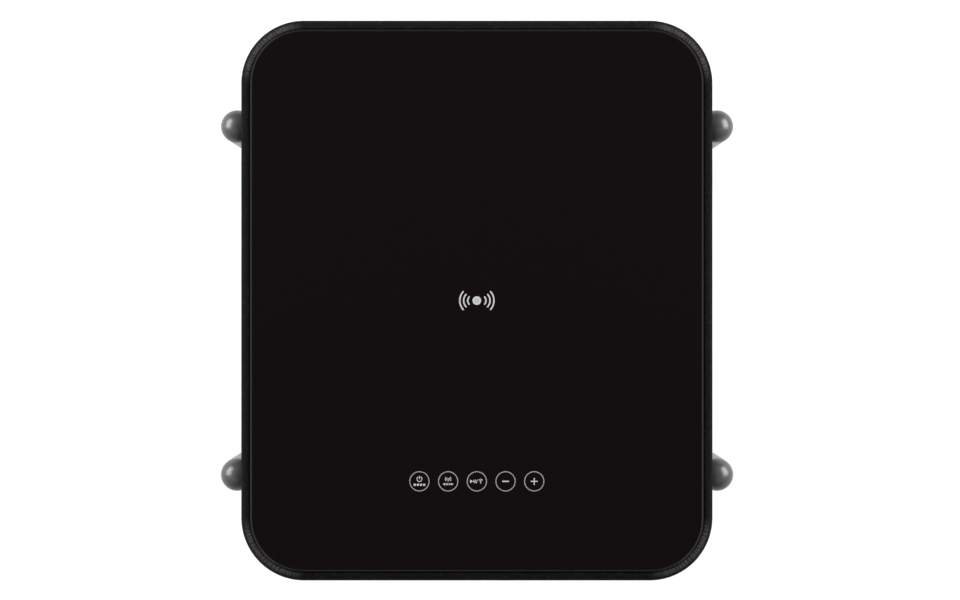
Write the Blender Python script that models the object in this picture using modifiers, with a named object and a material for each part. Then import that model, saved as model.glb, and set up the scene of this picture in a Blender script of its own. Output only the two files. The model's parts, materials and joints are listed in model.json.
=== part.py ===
"""A side-table subwoofer: a cloth-wrapped box under a glass touch top, held by four round posts.

Metres, +Z up. The origin is on the floor under the middle of the box, and the touch keys are at the
front, towards -Y. A 6.5-inch woofer fires down through the base, a small full-range driver fires
through the cloth on each side, and the sockets are at the back. The posts stand beside the box, two on
the left and two on the right, each bolted through a saddle to the side wall.
"""

import math

import bmesh
import bpy
from mathutils import Vector

GAP = 0.0003

# The wrapped box, seen from above.
BODY_WIDTH = 0.330
BODY_DEPTH = 0.392
CORNER_RADIUS = 0.044
BODY_BOTTOM = 0.310
CLOTH_THICKNESS = 0.001
CLOTH_LAYER = CLOTH_THICKNESS + GAP
RIM_RADIUS = 0.0059
RIM_STEPS = 3
WALL_THICKNESS = 0.009

# The top.
TOP_HEIGHT = 0.500
GLASS_THICKNESS = 0.005
GLASS_INSET = 0.0064
GLASS_CHAMFER = 0.0013
CHAMFER_ANGLE = math.radians(60)
GLASS_BOTTOM = TOP_HEIGHT - GLASS_THICKNESS
RIM_BELOW_GLASS = 0.002
TAPE_THICKNESS = 0.0006
TAPE_WIDTH = 0.006
TAPE_EDGE = 0.001
TRAY_THICKNESS = 0.0065
TOP_BOARD_THICKNESS = 0.009
KEY_ROW_Y = -0.126

# The base.
BASE_THICKNESS = 0.012
TRIM_THICKNESS = 0.004
TRIM_WIDTH = 0.008
TRIM_EDGE = 0.0012

# Legs: upright round posts with domed tops, bolted to the side walls through saddles.
LEG_X = 0.1801
LEG_Y = 0.1307
LEG_RADIUS = 0.0123
LEG_TOP = 0.395
LEG_FOOT_EDGE = 0.002
GLIDE_THICKNESS = 0.0022
GLIDE_RADIUS = 0.008
SADDLE_Z = 0.345
SADDLE_HEIGHT = 0.056
SADDLE_WIDTH = 0.018
SADDLE_REACH = 0.0065
BOLT_RADIUS = 0.003
BOLT_SLACK = 0.0004
BOLT_HEAD_RADIUS = 0.0065
BOLT_HEAD_THICKNESS = 0.004
BOLT_IN_LEG = 0.012
BOLT_END_GAP = 0.001
SADDLE_EDGE = 0.0008

# Loudspeakers.
WOOFER_HOLE_RADIUS = 0.075
GUARD_DEPTH = 0.0205
GUARD_THICKNESS = 0.0015
GUARD_FLANGE_RADIUS = 0.096
GUARD_SKIRT_RADIUS = 0.0867
GUARD_FLANGE_DISTANCE = 0.00105
GUARD_OVERLAP = 0.0005
SLOT_COUNTS = (4, 6, 8, 12)
SLOT_FIRST_RADIUS = 0.014
SLOT_RING_PITCH = 0.017
SLOT_WIDTH = 0.013
SLOT_BRIDGE = 0.004
SIDE_DRIVER_Z = 0.410
SIDE_HOLE_RADIUS = 0.038
PORT_Y = -0.135
PORT_BORE = 0.025
PORT_LENGTH = 0.115
PORT_WALL = 0.002
PORT_FLARE = 0.007
PORT_LIP = 0.003
PORT_LIP_THICKNESS = 0.0015
PORT_HOLE_SLACK = 0.0006

# Rear panel. Openings are (width, height) or a radius.
PANEL_Z = 0.400
PANEL_WIDTH = 0.1248
PANEL_HEIGHT = 0.0748
PANEL_THICKNESS = 0.003
PANEL_RADIUS = 0.005
PANEL_POCKET = 0.004
PANEL_OPENING = (0.108, 0.058)
PANEL_OPENING_RADIUS = 0.004
CLOTH_WINDOW_MARGIN = 0.0011
BOSS_RADIUS = 0.003
BOSS_X = 0.050
BOSS_Z = 0.025
BOARD_BEHIND_PANEL = 0.0134
ROCKER_OPENING = (0.0156, 0.0246)
ROCKER_OPENING_CORNER = 0.001
DC_OPENING = 0.0044
AUX_OPENING = 0.0034
USB_OPENING = (0.0102, 0.0044)
USB_OPENING_CORNER = 0.002
ROCKER_X = -0.040
DC_X = -0.011
AUX_X = 0.013
USB_X = 0.038
ROCKER_TILT = math.radians(8)

CUT_MARGIN = 0.010
MERGE_DISTANCE = 0.000005
CORNER_STEPS = 6
ROUND_STEPS = 24
SMALL_STEPS = 16

# Worked out from the values above.
WALL_WIDTH = BODY_WIDTH - 2 * CLOTH_LAYER
WALL_DEPTH = BODY_DEPTH - 2 * CLOTH_LAYER
WALL_RADIUS = CORNER_RADIUS - CLOTH_LAYER
INNER_WIDTH = WALL_WIDTH - 2 * WALL_THICKNESS
INNER_DEPTH = WALL_DEPTH - 2 * WALL_THICKNESS
INNER_RADIUS = WALL_RADIUS - WALL_THICKNESS
GLASS_WIDTH = BODY_WIDTH - 2 * GLASS_INSET
GLASS_DEPTH = BODY_DEPTH - 2 * GLASS_INSET
GLASS_RADIUS = CORNER_RADIUS - GLASS_INSET
CLOTH_TOP = TOP_HEIGHT - RIM_BELOW_GLASS
WALL_TOP = CLOTH_TOP - CLOTH_LAYER
TAPE_TOP = GLASS_BOTTOM - GAP
TAPE_BOTTOM = TAPE_TOP - TAPE_THICKNESS
TRAY_TOP = TAPE_BOTTOM - GAP
TRAY_BOTTOM = TRAY_TOP - TRAY_THICKNESS
TOP_BOARD_TOP = TRAY_BOTTOM - GAP
TOP_BOARD_BOTTOM = TOP_BOARD_TOP - TOP_BOARD_THICKNESS
BASE_TOP = BODY_BOTTOM + BASE_THICKNESS
UNDER_BASE = BODY_BOTTOM - GAP
LEG_BOTTOM = GLIDE_THICKNESS + GAP
WALL_FACE_X = INNER_WIDTH / 2
PANEL_FACE_Y = WALL_DEPTH / 2 - PANEL_POCKET + PANEL_THICKNESS + GAP
PANEL_BACK_Y = PANEL_FACE_Y - PANEL_THICKNESS
BOARD_FACE_Y = PANEL_BACK_Y - BOARD_BEHIND_PANEL
BOARD_THICKNESS = 0.0016
INNER_BOARD_Y = BOARD_FACE_Y - BOARD_THICKNESS - GAP

CORNERS = {
    "front_left": (-1, -1),
    "front_right": (1, -1),
    "rear_left": (-1, 1),
    "rear_right": (1, 1),
}
SIDES = {"left": -1, "right": 1}

LOOKS = {
    "glass": ((0.006, 0.005, 0.006), 0.05, 0.0),
    "cloth": ((0.020, 0.020, 0.021), 0.85, 0.0),
    "lacquer": ((0.035, 0.034, 0.034), 0.28, 0.0),
    "plastic": ((0.018, 0.018, 0.018), 0.45, 0.0),
    "fibreboard": ((0.240, 0.150, 0.085), 0.80, 0.0),
    "rubber": ((0.012, 0.012, 0.012), 0.60, 0.0),
    "foam": ((0.030, 0.030, 0.030), 0.90, 0.0),
    "steel": ((0.560, 0.570, 0.580), 0.35, 1.0),
    "black_steel": ((0.025, 0.025, 0.026), 0.45, 1.0),
    "aluminium": ((0.760, 0.770, 0.780), 0.30, 1.0),
    "ferrite": ((0.050, 0.050, 0.052), 0.65, 0.0),
    "copper": ((0.720, 0.330, 0.160), 0.30, 1.0),
    "paper_cone": ((0.028, 0.028, 0.030), 0.75, 0.0),
    "woven_spider": ((0.420, 0.280, 0.120), 0.85, 0.0),
    "circuit_board": ((0.015, 0.110, 0.045), 0.40, 0.0),
    "lead_sleeve": ((0.015, 0.015, 0.016), 0.50, 0.0),
}


# ---------------------------------------------------------------- scene, objects and looks


def clear_scene():
    for obj in list(bpy.data.objects):
        bpy.data.objects.remove(obj, do_unlink=True)


def new_collection(name):
    collection = bpy.data.collections.new(name)
    bpy.context.scene.collection.children.link(collection)
    return collection


def make_look(name):
    colour, roughness, metallic = LOOKS[name]
    look = bpy.data.materials.new(name)
    look.use_nodes = True
    shader = look.node_tree.nodes["Principled BSDF"]
    shader.inputs["Base Color"].default_value = (*colour, 1.0)
    shader.inputs["Roughness"].default_value = roughness
    shader.inputs["Metallic"].default_value = metallic
    return look


clear_scene()
PARTS = new_collection("subwoofer")
CUTTERS = new_collection("cutters")


def place(name, mesh, look, parent=None, location=(0, 0, 0), rotation=(0, 0, 0)):
    """One named object. Without a look it is a cutter."""
    obj = bpy.data.objects.new(name, mesh)
    obj.location = location
    obj.rotation_euler = rotation
    obj.parent = parent
    if look is None:
        CUTTERS.objects.link(obj)
        obj.hide_render = True
        obj.display_type = "WIRE"
        return obj
    PARTS.objects.link(obj)
    mesh.materials.append(make_look(look))
    mesh.materials[0].name = name + "_look"
    return obj


def axis_empty(name, location, rotation=(0, 0, 0)):
    empty = bpy.data.objects.new(name, None)
    empty.location = location
    empty.rotation_euler = rotation
    empty.empty_display_size = 0.02
    PARTS.objects.link(empty)
    return empty


def boolean(obj, other, operation="DIFFERENCE"):
    modifier = obj.modifiers.new(operation.lower(), "BOOLEAN")
    modifier.operation = operation
    modifier.object = other
    modifier.solver = "EXACT"


def cut(obj, *cutters):
    for cutter in cutters:
        boolean(obj, cutter)


def join(obj, *others):
    for other in others:
        boolean(obj, other, "UNION")


def round_edges(obj, width, angle=math.radians(40)):
    modifier = obj.modifiers.new("edges", "BEVEL")
    modifier.width = width
    modifier.segments = 1
    modifier.limit_method = "ANGLE"
    modifier.angle_limit = angle


# ---------------------------------------------------------------- outlines and profiles


def arc(centre_x, centre_y, radius, start, end, steps):
    """Points along an arc, angles in degrees, both ends included."""
    points = []
    for step in range(steps + 1):
        angle = math.radians(start + (end - start) * step / steps)
        points.append((centre_x + radius * math.cos(angle), centre_y + radius * math.sin(angle)))
    return points


def circle(radius, x=0.0, y=0.0, steps=ROUND_STEPS):
    return arc(x, y, radius, 0, 360, steps)[:-1]


def rounded_rectangle(width, depth, radius, x=0.0, y=0.0, steps=CORNER_STEPS):
    side = width / 2 - radius
    end = depth / 2 - radius
    outline = []
    for quarter, (sx, sy) in enumerate(((1, 1), (-1, 1), (-1, -1), (1, -1))):
        start = 90 * quarter
        outline += arc(x + sx * side, y + sy * end, radius, start, start + 90, steps)
    return outline


def arc_slot(inner, outer, start, end):
    return arc(0, 0, outer, start, end, 2) + arc(0, 0, inner, end, start, 2)


def offset_line(points, thickness):
    """A closed strip of the given thickness around an open line of (radius, height) points."""
    near, far = [], []
    for index, (r, z) in enumerate(points):
        before = Vector(points[max(index - 1, 0)])
        here = Vector((r, z))
        after = Vector(points[min(index + 1, len(points) - 1)])
        into = (here - before).normalized() if index else (after - here).normalized()
        out = (after - here).normalized() if index < len(points) - 1 else into
        along = (into + out).normalized()
        normal = Vector((-along.y, along.x))
        reach = thickness / 2 / max(normal.dot(Vector((-into.y, into.x))), 0.5)
        near.append(tuple(here + normal * reach))
        far.append(tuple(here - normal * reach))
    if points[0][0] == 0:
        near[0] = (0, near[0][1])
        far[0] = (0, far[0][1])
    return near + far[::-1]


def clockwise(profile):
    """The profile turned so that it runs down its outer side."""
    area = 0
    for (r0, z0), (r1, z1) in zip(profile, profile[1:] + profile[:1]):
        area += r0 * z1 - r1 * z0
    return profile[::-1] if area > 0 else profile


def turned(name, profile, look, steps=ROUND_STEPS, **where):
    """A turned solid from (radius, height) points. Points on the axis close it; others make a ring."""
    profile = clockwise(profile)
    on_axis = [index for index, point in enumerate(profile) if point[0] == 0]
    if on_axis:
        turn = next(i for i in on_axis if (i - 1) % len(profile) in on_axis)
        profile = profile[turn:] + profile[:turn]
    mesh = bpy.data.meshes.new(name)
    edges = [(i, i + 1) for i in range(len(profile) - 1)]
    if not on_axis:
        edges.append((len(profile) - 1, 0))
    mesh.from_pydata([(r, 0, z) for r, z in profile], edges, [])
    obj = place(name, mesh, look, **where)
    screw = obj.modifiers.new("turn", "SCREW")
    screw.axis = "Z"
    screw.angle = math.tau
    screw.steps = screw.render_steps = steps
    screw.use_merge_vertices = True
    screw.merge_threshold = 2 * MERGE_DISTANCE
    return obj


def mesh_of(obj, name):
    """The curve object's evaluated shape as a welded mesh, and the curve removed."""
    bpy.context.view_layer.update()
    graph = bpy.context.evaluated_depsgraph_get()
    mesh = bpy.data.meshes.new_from_object(obj.evaluated_get(graph))
    mesh.name = name
    mesh.materials.clear()
    bpy.data.objects.remove(obj, do_unlink=True)
    shape = bmesh.new()
    shape.from_mesh(mesh)
    bmesh.ops.remove_doubles(shape, verts=shape.verts, dist=MERGE_DISTANCE)
    bmesh.ops.recalc_face_normals(shape, faces=shape.faces)
    shape.to_mesh(mesh)
    shape.free()
    return mesh


def slab(name, loops, low, high, look, **where):
    """A flat outline with its holes, as thick as low to high along its own Z."""
    curve = bpy.data.curves.new(name, "CURVE")
    curve.dimensions = "2D"
    curve.fill_mode = "BOTH"
    curve.extrude = (high - low) / 2
    for loop in loops:
        spline = curve.splines.new("POLY")
        spline.points.add(len(loop) - 1)
        for point, (x, y) in zip(spline.points, loop):
            point.co = (x, y, 0, 1)
        spline.use_cyclic_u = True
    guide = bpy.data.objects.new(name + "_outline", curve)
    bpy.context.scene.collection.objects.link(guide)
    mesh = mesh_of(guide, name)
    for vertex in mesh.vertices:
        vertex.co.z += (high + low) / 2
    return place(name, mesh, look, **where)


def tube(name, points, radius, look):
    """A round lead through a smooth curve, given as a POLY line of close points."""
    curve = bpy.data.curves.new(name, "CURVE")
    curve.dimensions = "3D"
    curve.bevel_depth = radius
    curve.bevel_resolution = 2
    curve.use_fill_caps = True
    spline = curve.splines.new("POLY")
    spline.points.add(len(points) - 1)
    for point, place_at in zip(spline.points, points):
        point.co = (*place_at, 1)
    guide = bpy.data.objects.new(name + "_route", curve)
    bpy.context.scene.collection.objects.link(guide)
    return place(name, mesh_of(guide, name), look)


def smooth_route(stops, steps):
    """Catmull-Rom points through the stops."""
    stops = [Vector(stop) for stop in stops]
    ends = [2 * stops[0] - stops[1]] + stops + [2 * stops[-1] - stops[-2]]
    route = []
    for before, start, end, after in zip(ends, ends[1:], ends[2:], ends[3:]):
        for step in range(steps):
            t = step / steps
            point = start * 2 + (end - before) * t
            point += (before * 2 - start * 5 + end * 4 - after) * t * t
            point += (start * 3 - before - end * 3 + after) * t * t * t
            route.append(point / 2)
    return route + [stops[-1]]


def box(name, size, centre, look=None, **where):
    shape = bmesh.new()
    bmesh.ops.create_cube(shape, size=1)
    bmesh.ops.scale(shape, vec=size, verts=shape.verts)
    bmesh.ops.translate(shape, vec=centre, verts=shape.verts)
    mesh = bpy.data.meshes.new(name)
    shape.to_mesh(mesh)
    shape.free()
    return place(name, mesh, look, **where)


def cylinder(name, radius, low, high, look=None, **where):
    return turned(name, [(0, high), (radius, high), (radius, low), (0, low)], look, SMALL_STEPS, **where)


# ---------------------------------------------------------------- top


def make_glass():
    outline = rounded_rectangle(GLASS_WIDTH, GLASS_DEPTH, GLASS_RADIUS)
    glass = slab("glass_top", [outline], GLASS_BOTTOM, TOP_HEIGHT, "glass")
    round_edges(glass, GLASS_CHAMFER, CHAMFER_ANGLE)


def make_tape():
    edge = TAPE_EDGE
    outer = rounded_rectangle(GLASS_WIDTH - 2 * edge, GLASS_DEPTH - 2 * edge, GLASS_RADIUS - edge)
    inset = edge + TAPE_WIDTH
    inner = rounded_rectangle(GLASS_WIDTH - 2 * inset, GLASS_DEPTH - 2 * inset, GLASS_RADIUS - inset)
    slab("glass_tape", [outer, inner], TAPE_BOTTOM, TAPE_TOP, "foam")


def inside_box(name, low, high, look, holes):
    width = INNER_WIDTH - 2 * GAP
    depth = INNER_DEPTH - 2 * GAP
    return slab(name, [rounded_rectangle(width, depth, INNER_RADIUS - GAP), *holes], low, high, look)


LEAD_HOLE = (0.052, KEY_ROW_Y)
LEAD_HOLE_RADIUS = 0.004
CHARGER_Y = 0.062
PLATE_SIDE = 0.050
PLATE_THICKNESS = 0.0018
COIL_RADIUS = 0.022
COIL_INNER_RADIUS = 0.010
COIL_THICKNESS = 0.002
CHARGER_SIZE = (0.060, 0.040)
TOUCH_SIZE = (0.126, 0.030)
BOARD_CORNER = 0.002
POCKET_MARGIN = 0.002
POCKET_CORNER = 0.003
CHARGER_POCKET = TRAY_TOP - 0.005
TOUCH_POCKET = TRAY_TOP - 0.0025


def make_pocket(name, width, depth, y, floor):
    """A cutter for the pocket of a board of the given size, in the tray's upper face."""
    margin = 2 * POCKET_MARGIN
    outline = rounded_rectangle(width + margin, depth + margin, POCKET_CORNER, 0, y)
    return slab(name, [outline], floor, TRAY_TOP + CUT_MARGIN, None)


def make_tray():
    lead_hole = circle(LEAD_HOLE_RADIUS, *LEAD_HOLE, steps=12)
    tray = inside_box("top_tray", TRAY_BOTTOM, TRAY_TOP, "plastic", [lead_hole])
    coil = make_pocket("coil_pocket", PLATE_SIDE, PLATE_SIDE, 0, CHARGER_POCKET)
    charger = make_pocket("charger_pocket", *CHARGER_SIZE, CHARGER_Y, CHARGER_POCKET)
    touch = make_pocket("touch_pocket", *TOUCH_SIZE, KEY_ROW_Y, TOUCH_POCKET)
    cut(tray, coil, charger, touch)
    inside_box("top_board", TOP_BOARD_BOTTOM, TOP_BOARD_TOP, "fibreboard", [lead_hole])


def make_touch_and_charging():
    low = TOUCH_POCKET + GAP
    outline = rounded_rectangle(*TOUCH_SIZE, BOARD_CORNER, 0, KEY_ROW_Y)
    slab("touch_board", [outline], low, low + BOARD_THICKNESS, "circuit_board")
    low = CHARGER_POCKET + GAP
    outline = rounded_rectangle(*CHARGER_SIZE, BOARD_CORNER, 0, CHARGER_Y)
    slab("charger_board", [outline], low, low + BOARD_THICKNESS, "circuit_board")
    plate_top = low + PLATE_THICKNESS
    outline = rounded_rectangle(PLATE_SIDE, PLATE_SIDE, BOARD_CORNER)
    slab("ferrite_plate", [outline], low, plate_top, "ferrite")
    coil_low = plate_top + GAP
    coil_high = coil_low + COIL_THICKNESS
    profile = [(COIL_RADIUS, coil_low), (COIL_RADIUS, coil_high)]
    profile += [(COIL_INNER_RADIUS, coil_high), (COIL_INNER_RADIUS, coil_low)]
    turned("charging_coil", profile, "copper")


# ---------------------------------------------------------------- box


def rounded_block(name, width, depth, radius, rim, top, look, open_ends=False):
    """An upright block with rounded corners and a rounded top rim, or only its sides and rim."""
    height = top - BODY_BOTTOM
    shape = bmesh.new()
    bmesh.ops.create_cube(shape, size=1)
    bmesh.ops.scale(shape, vec=(width, depth, height), verts=shape.verts)
    bmesh.ops.translate(shape, vec=(0, 0, BODY_BOTTOM + height / 2), verts=shape.verts)
    upright = [e for e in shape.edges if abs(e.verts[0].co.z - e.verts[1].co.z) > height / 2]
    bmesh.ops.bevel(shape, geom=upright, offset=radius, segments=CORNER_STEPS, profile=0.5, affect="EDGES")
    top_edges = [e for e in shape.edges if min(v.co.z for v in e.verts) > top - 1e-6]
    bmesh.ops.bevel(shape, geom=top_edges, offset=rim, segments=RIM_STEPS, profile=0.5, affect="EDGES")
    if open_ends:
        flat = [f for f in shape.faces if abs(f.normal.z) > 0.999]
        bmesh.ops.delete(shape, geom=flat, context="FACES")
    bmesh.ops.recalc_face_normals(shape, faces=shape.faces)
    mesh = bpy.data.meshes.new(name)
    shape.to_mesh(mesh)
    shape.free()
    return place(name, mesh, look)


def panel_cutter(name, width, height, radius, y_low, y_high):
    outline = rounded_rectangle(width, height, radius, 0, PANEL_Z, steps=3)
    return slab(name, [outline], -y_high, -y_low, None, rotation=(math.pi / 2, 0, 0))


def make_wall_and_cloth():
    rim = RIM_RADIUS - CLOTH_LAYER
    wall = rounded_block(
        "cabinet_wall", WALL_WIDTH, WALL_DEPTH, WALL_RADIUS, rim, WALL_TOP, "fibreboard"
    )
    outline = rounded_rectangle(INNER_WIDTH, INNER_DEPTH, INNER_RADIUS)
    inside = slab("cabinet_inside", [outline], BODY_BOTTOM - CUT_MARGIN, TOP_HEIGHT, None)
    rebate = GLASS_INSET - GAP
    outline = rounded_rectangle(
        BODY_WIDTH - 2 * rebate, BODY_DEPTH - 2 * rebate, CORNER_RADIUS - rebate
    )
    seat = slab("glass_rebate", [outline], TRAY_TOP, TOP_HEIGHT, None)
    face = WALL_DEPTH / 2
    pocket = panel_cutter(
        "panel_pocket",
        PANEL_WIDTH + 4 * GAP,
        PANEL_HEIGHT + 4 * GAP,
        PANEL_RADIUS + 2 * GAP,
        face - PANEL_POCKET,
        face + CUT_MARGIN,
    )
    opening = panel_cutter(
        "panel_opening", *PANEL_OPENING, PANEL_OPENING_RADIUS, face - 2 * CUT_MARGIN, face + CUT_MARGIN
    )
    sides = cylinder(
        "side_driver_holes",
        SIDE_HOLE_RADIUS,
        -BODY_WIDTH,
        BODY_WIDTH,
        location=(0, 0, SIDE_DRIVER_Z),
        rotation=(0, math.pi / 2, 0),
    )
    cut(wall, inside, seat, pocket, opening, sides)
    cloth = rounded_block(
        "grille_cloth", BODY_WIDTH, BODY_DEPTH, CORNER_RADIUS, RIM_RADIUS, CLOTH_TOP, "cloth", True
    )
    thick = cloth.modifiers.new("thick", "SOLIDIFY")
    thick.thickness = CLOTH_THICKNESS
    thick.offset = -1
    thick.use_even_offset = True
    margin = CLOTH_WINDOW_MARGIN
    window = panel_cutter(
        "cloth_window",
        PANEL_WIDTH + 2 * margin,
        PANEL_HEIGHT + 2 * margin,
        PANEL_RADIUS + margin,
        face - CUT_MARGIN / 2,
        face + CUT_MARGIN,
    )
    cut(cloth, window)
    return wall, cloth


def make_base():
    woofer_hole = circle(WOOFER_HOLE_RADIUS)
    port_hole = circle(PORT_BORE + PORT_WALL + PORT_HOLE_SLACK, 0, PORT_Y, steps=SMALL_STEPS)
    holes = [woofer_hole, port_hole]
    inside_box("base_board", BODY_BOTTOM, BASE_TOP, "fibreboard", holes)
    outer = rounded_rectangle(BODY_WIDTH, BODY_DEPTH, CORNER_RADIUS)
    inner = rounded_rectangle(
        BODY_WIDTH - 2 * TRIM_WIDTH, BODY_DEPTH - 2 * TRIM_WIDTH, CORNER_RADIUS - TRIM_WIDTH
    )
    trim = slab("bottom_trim", [outer, inner], UNDER_BASE - TRIM_THICKNESS, UNDER_BASE, "plastic")
    round_edges(trim, TRIM_EDGE, CHAMFER_ANGLE)


# ---------------------------------------------------------------- legs


def across(sx, y, z, x=0.0):
    """Where a piece with its own +Z pointing outwards along X sits."""
    return {"location": (sx * x, y, z), "rotation": (0, sx * math.pi / 2, 0)}


def make_leg(corner):
    sx, sy = CORNERS[corner]
    y = sy * LEG_Y
    post = arc(0, LEG_TOP - LEG_RADIUS, LEG_RADIUS, 90, 0, 6)
    post[0] = (0, LEG_TOP)
    post += [(LEG_RADIUS, LEG_BOTTOM + LEG_FOOT_EDGE), (LEG_RADIUS - LEG_FOOT_EDGE, LEG_BOTTOM)]
    leg = turned(corner + "_leg", post + [(0, LEG_BOTTOM)], "lacquer", location=(sx * LEG_X, y, 0))
    bolt_hole = cylinder(
        corner + "_bolt_hole",
        BOLT_RADIUS + BOLT_SLACK,
        0,
        LEG_X + BOLT_IN_LEG / 2,
        **across(sx, y, SADDLE_Z),
    )
    cut(leg, bolt_hole)
    saddle_face = BODY_WIDTH / 2 + GAP
    saddle = box(
        corner + "_leg_saddle",
        (SADDLE_REACH, SADDLE_WIDTH, SADDLE_HEIGHT),
        (sx * (saddle_face + SADDLE_REACH / 2), y, SADDLE_Z),
        "plastic",
    )
    round_edges(saddle, SADDLE_EDGE)
    post_seat = cylinder(corner + "_post_seat", LEG_RADIUS + GAP, 0, TOP_HEIGHT, location=(sx * LEG_X, y, 0))
    cut(saddle, post_seat, bolt_hole)
    head = WALL_FACE_X - GAP
    end = LEG_X + BOLT_IN_LEG / 2 - BOLT_END_GAP
    bolt = [(0, end), (BOLT_RADIUS, end), (BOLT_RADIUS, head), (BOLT_HEAD_RADIUS, head)]
    bolt += [(BOLT_HEAD_RADIUS, head - BOLT_HEAD_THICKNESS), (0, head - BOLT_HEAD_THICKNESS)]
    turned(corner + "_leg_bolt", bolt, "steel", SMALL_STEPS, **across(sx, y, SADDLE_Z))
    cylinder(
        corner + "_foot_glide", GLIDE_RADIUS, 0, GLIDE_THICKNESS, "rubber", location=(sx * LEG_X, y, 0)
    )
    return bolt_hole


def make_legs(wall, cloth):
    for corner in CORNERS:
        bolt_hole = make_leg(corner)
        cut(wall, bolt_hole)
        cut(cloth, bolt_hole)


# ---------------------------------------------------------------- woofer
# Profiles are (radius, distance in front of the mounting face).

BASKET_LINE = [
    (0.084, 0.0013),
    (0.0725, 0.0013),
    (0.051, -0.029),
    (0.042, -0.029),
    (0.040, -0.037),
    (0.022, -0.037),
]
GASKET = [(0.0835, 0.0056), (0.0835, 0.0036), (0.0745, 0.0036), (0.0745, 0.0056)]
CONE_LINE = [(0.0578, 0.00175), (0.054, 0.00175), (0.0178, -0.021)]
VOICE_COIL = [
    (0.0166, -0.0195),
    (0.0166, -0.036),
    (0.0178, -0.036),
    (0.0178, -0.046),
    (0.0162, -0.046),
    (0.0162, -0.0195),
]
TOP_PLATE = [(0.044, -0.0382), (0.044, -0.0442), (0.0188, -0.0442), (0.0188, -0.0382)]
MAGNET = [(0.050, -0.0445), (0.050, -0.0595), (0.024, -0.0595), (0.024, -0.0445)]
YOKE = [
    (0.0157, -0.0382),
    (0.0157, -0.0598),
    (0.046, -0.0598),
    (0.046, -0.066),
    (0.005, -0.066),
    (0.005, -0.0382),
]
BASKET_THICKNESS = 0.0018
BASKET_WINDOW = (0.24, 0.040, 0.014)
BASKET_WINDOW_DISTANCE = -0.0165
CONE_THICKNESS = 0.0009
SURROUND_THICKNESS = 0.0008
ROLL_RADIUS = 0.0065
ROLL_CENTRE = 0.0645
ROLL_HEIGHT = 0.0029
ROLL_LIP = 0.003
CAP_RADIUS = 0.020
CAP_RISE = 0.0075
CAP_EDGE_DISTANCE = -0.0178
CAP_THICKNESS = 0.0006
SPIDER_PLANE = -0.0275
SPIDER_RADII = (0.0173, 0.044)
SPIDER_THICKNESS = 0.0006
SPIDER_WAVES = 3
SPIDER_WAVE_HEIGHT = 0.0011
SPIDER_INNER_LIP = 0.0015
SPIDER_LIPS = 0.0045


def roll_line(centre, radius, height, lip, steps):
    """A half roll standing forward, with a flat lip at each side."""
    line = [(centre + radius + lip, height)]
    line += arc(centre, height, radius, 0, 180, steps)
    return line + [(centre - radius - lip, height)]


def spider_line():
    """Three waves between an inner and an outer lip."""
    inner, outer = SPIDER_RADII
    steps = 4 * SPIDER_WAVES
    line = [(inner, SPIDER_PLANE)]
    for step in range(steps + 1):
        share = step / steps
        r = inner + SPIDER_INNER_LIP + (outer - inner - SPIDER_LIPS) * share
        wave = SPIDER_WAVE_HEIGHT * math.sin(math.tau * SPIDER_WAVES * share)
        line.append((r, SPIDER_PLANE + wave))
    return line + [(outer, SPIDER_PLANE)]


def make_woofer():
    woofer = axis_empty("woofer_axis", (0, 0, BODY_BOTTOM), (math.pi, 0, 0))
    here = {"parent": woofer}
    outline = offset_line(BASKET_LINE, BASKET_THICKNESS)
    basket = turned("woofer_basket", outline, "black_steel", **here)
    for number in range(3):
        window = box(
            f"basket_window_{number}",
            BASKET_WINDOW,
            (0, 0, BASKET_WINDOW_DISTANCE),
            rotation=(0, 0, math.radians(60 * number)),
            **here,
        )
        cut(basket, window)
    turned("woofer_gasket", GASKET, "foam", **here)
    roll = roll_line(ROLL_CENTRE, ROLL_RADIUS, ROLL_HEIGHT, ROLL_LIP, 6)
    turned("woofer_surround", offset_line(roll, SURROUND_THICKNESS), "rubber", **here)
    turned("woofer_cone", offset_line(CONE_LINE, CONE_THICKNESS), "paper_cone", **here)
    cap = []
    for step in range(5):
        share = step / 4
        cap.append((CAP_RADIUS * share, CAP_EDGE_DISTANCE + CAP_RISE * (1 - share**2)))
    turned("dust_cap", offset_line(cap, CAP_THICKNESS), "paper_cone", **here)
    turned("voice_coil", VOICE_COIL, "copper", **here)
    turned("spider", offset_line(spider_line(), SPIDER_THICKNESS), "woven_spider", steps=20, **here)
    turned("magnet_top_plate", TOP_PLATE, "steel", **here)
    turned("magnet_ring", MAGNET, "ferrite", **here)
    turned("pole_yoke", YOKE, "steel", **here)
    make_guard(here)


def make_guard(here):
    """A pressed steel dish over the woofer, with rings of slots."""
    flange = (GUARD_FLANGE_RADIUS, GUARD_FLANGE_DISTANCE)
    fold = (GUARD_SKIRT_RADIUS, GUARD_FLANGE_DISTANCE)
    skirt = [flange, fold, (GUARD_SKIRT_RADIUS, GUARD_DEPTH - GUARD_OVERLAP)]
    guard = turned("woofer_guard", offset_line(skirt, GUARD_THICKNESS), "black_steel", **here)
    loops = [circle(GUARD_SKIRT_RADIUS + GUARD_OVERLAP)]
    for ring, count in enumerate(SLOT_COUNTS):
        inner = SLOT_FIRST_RADIUS + SLOT_RING_PITCH * ring
        slot = 360 / count
        bridge = math.degrees(SLOT_BRIDGE / inner)
        for number in range(count):
            start = slot * number + bridge / 2
            loops.append(arc_slot(inner, inner + SLOT_WIDTH, start, start + slot - bridge))
    face = slab("guard_face", loops, GUARD_DEPTH - GUARD_THICKNESS, GUARD_DEPTH, None, **here)
    join(guard, face)


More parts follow.
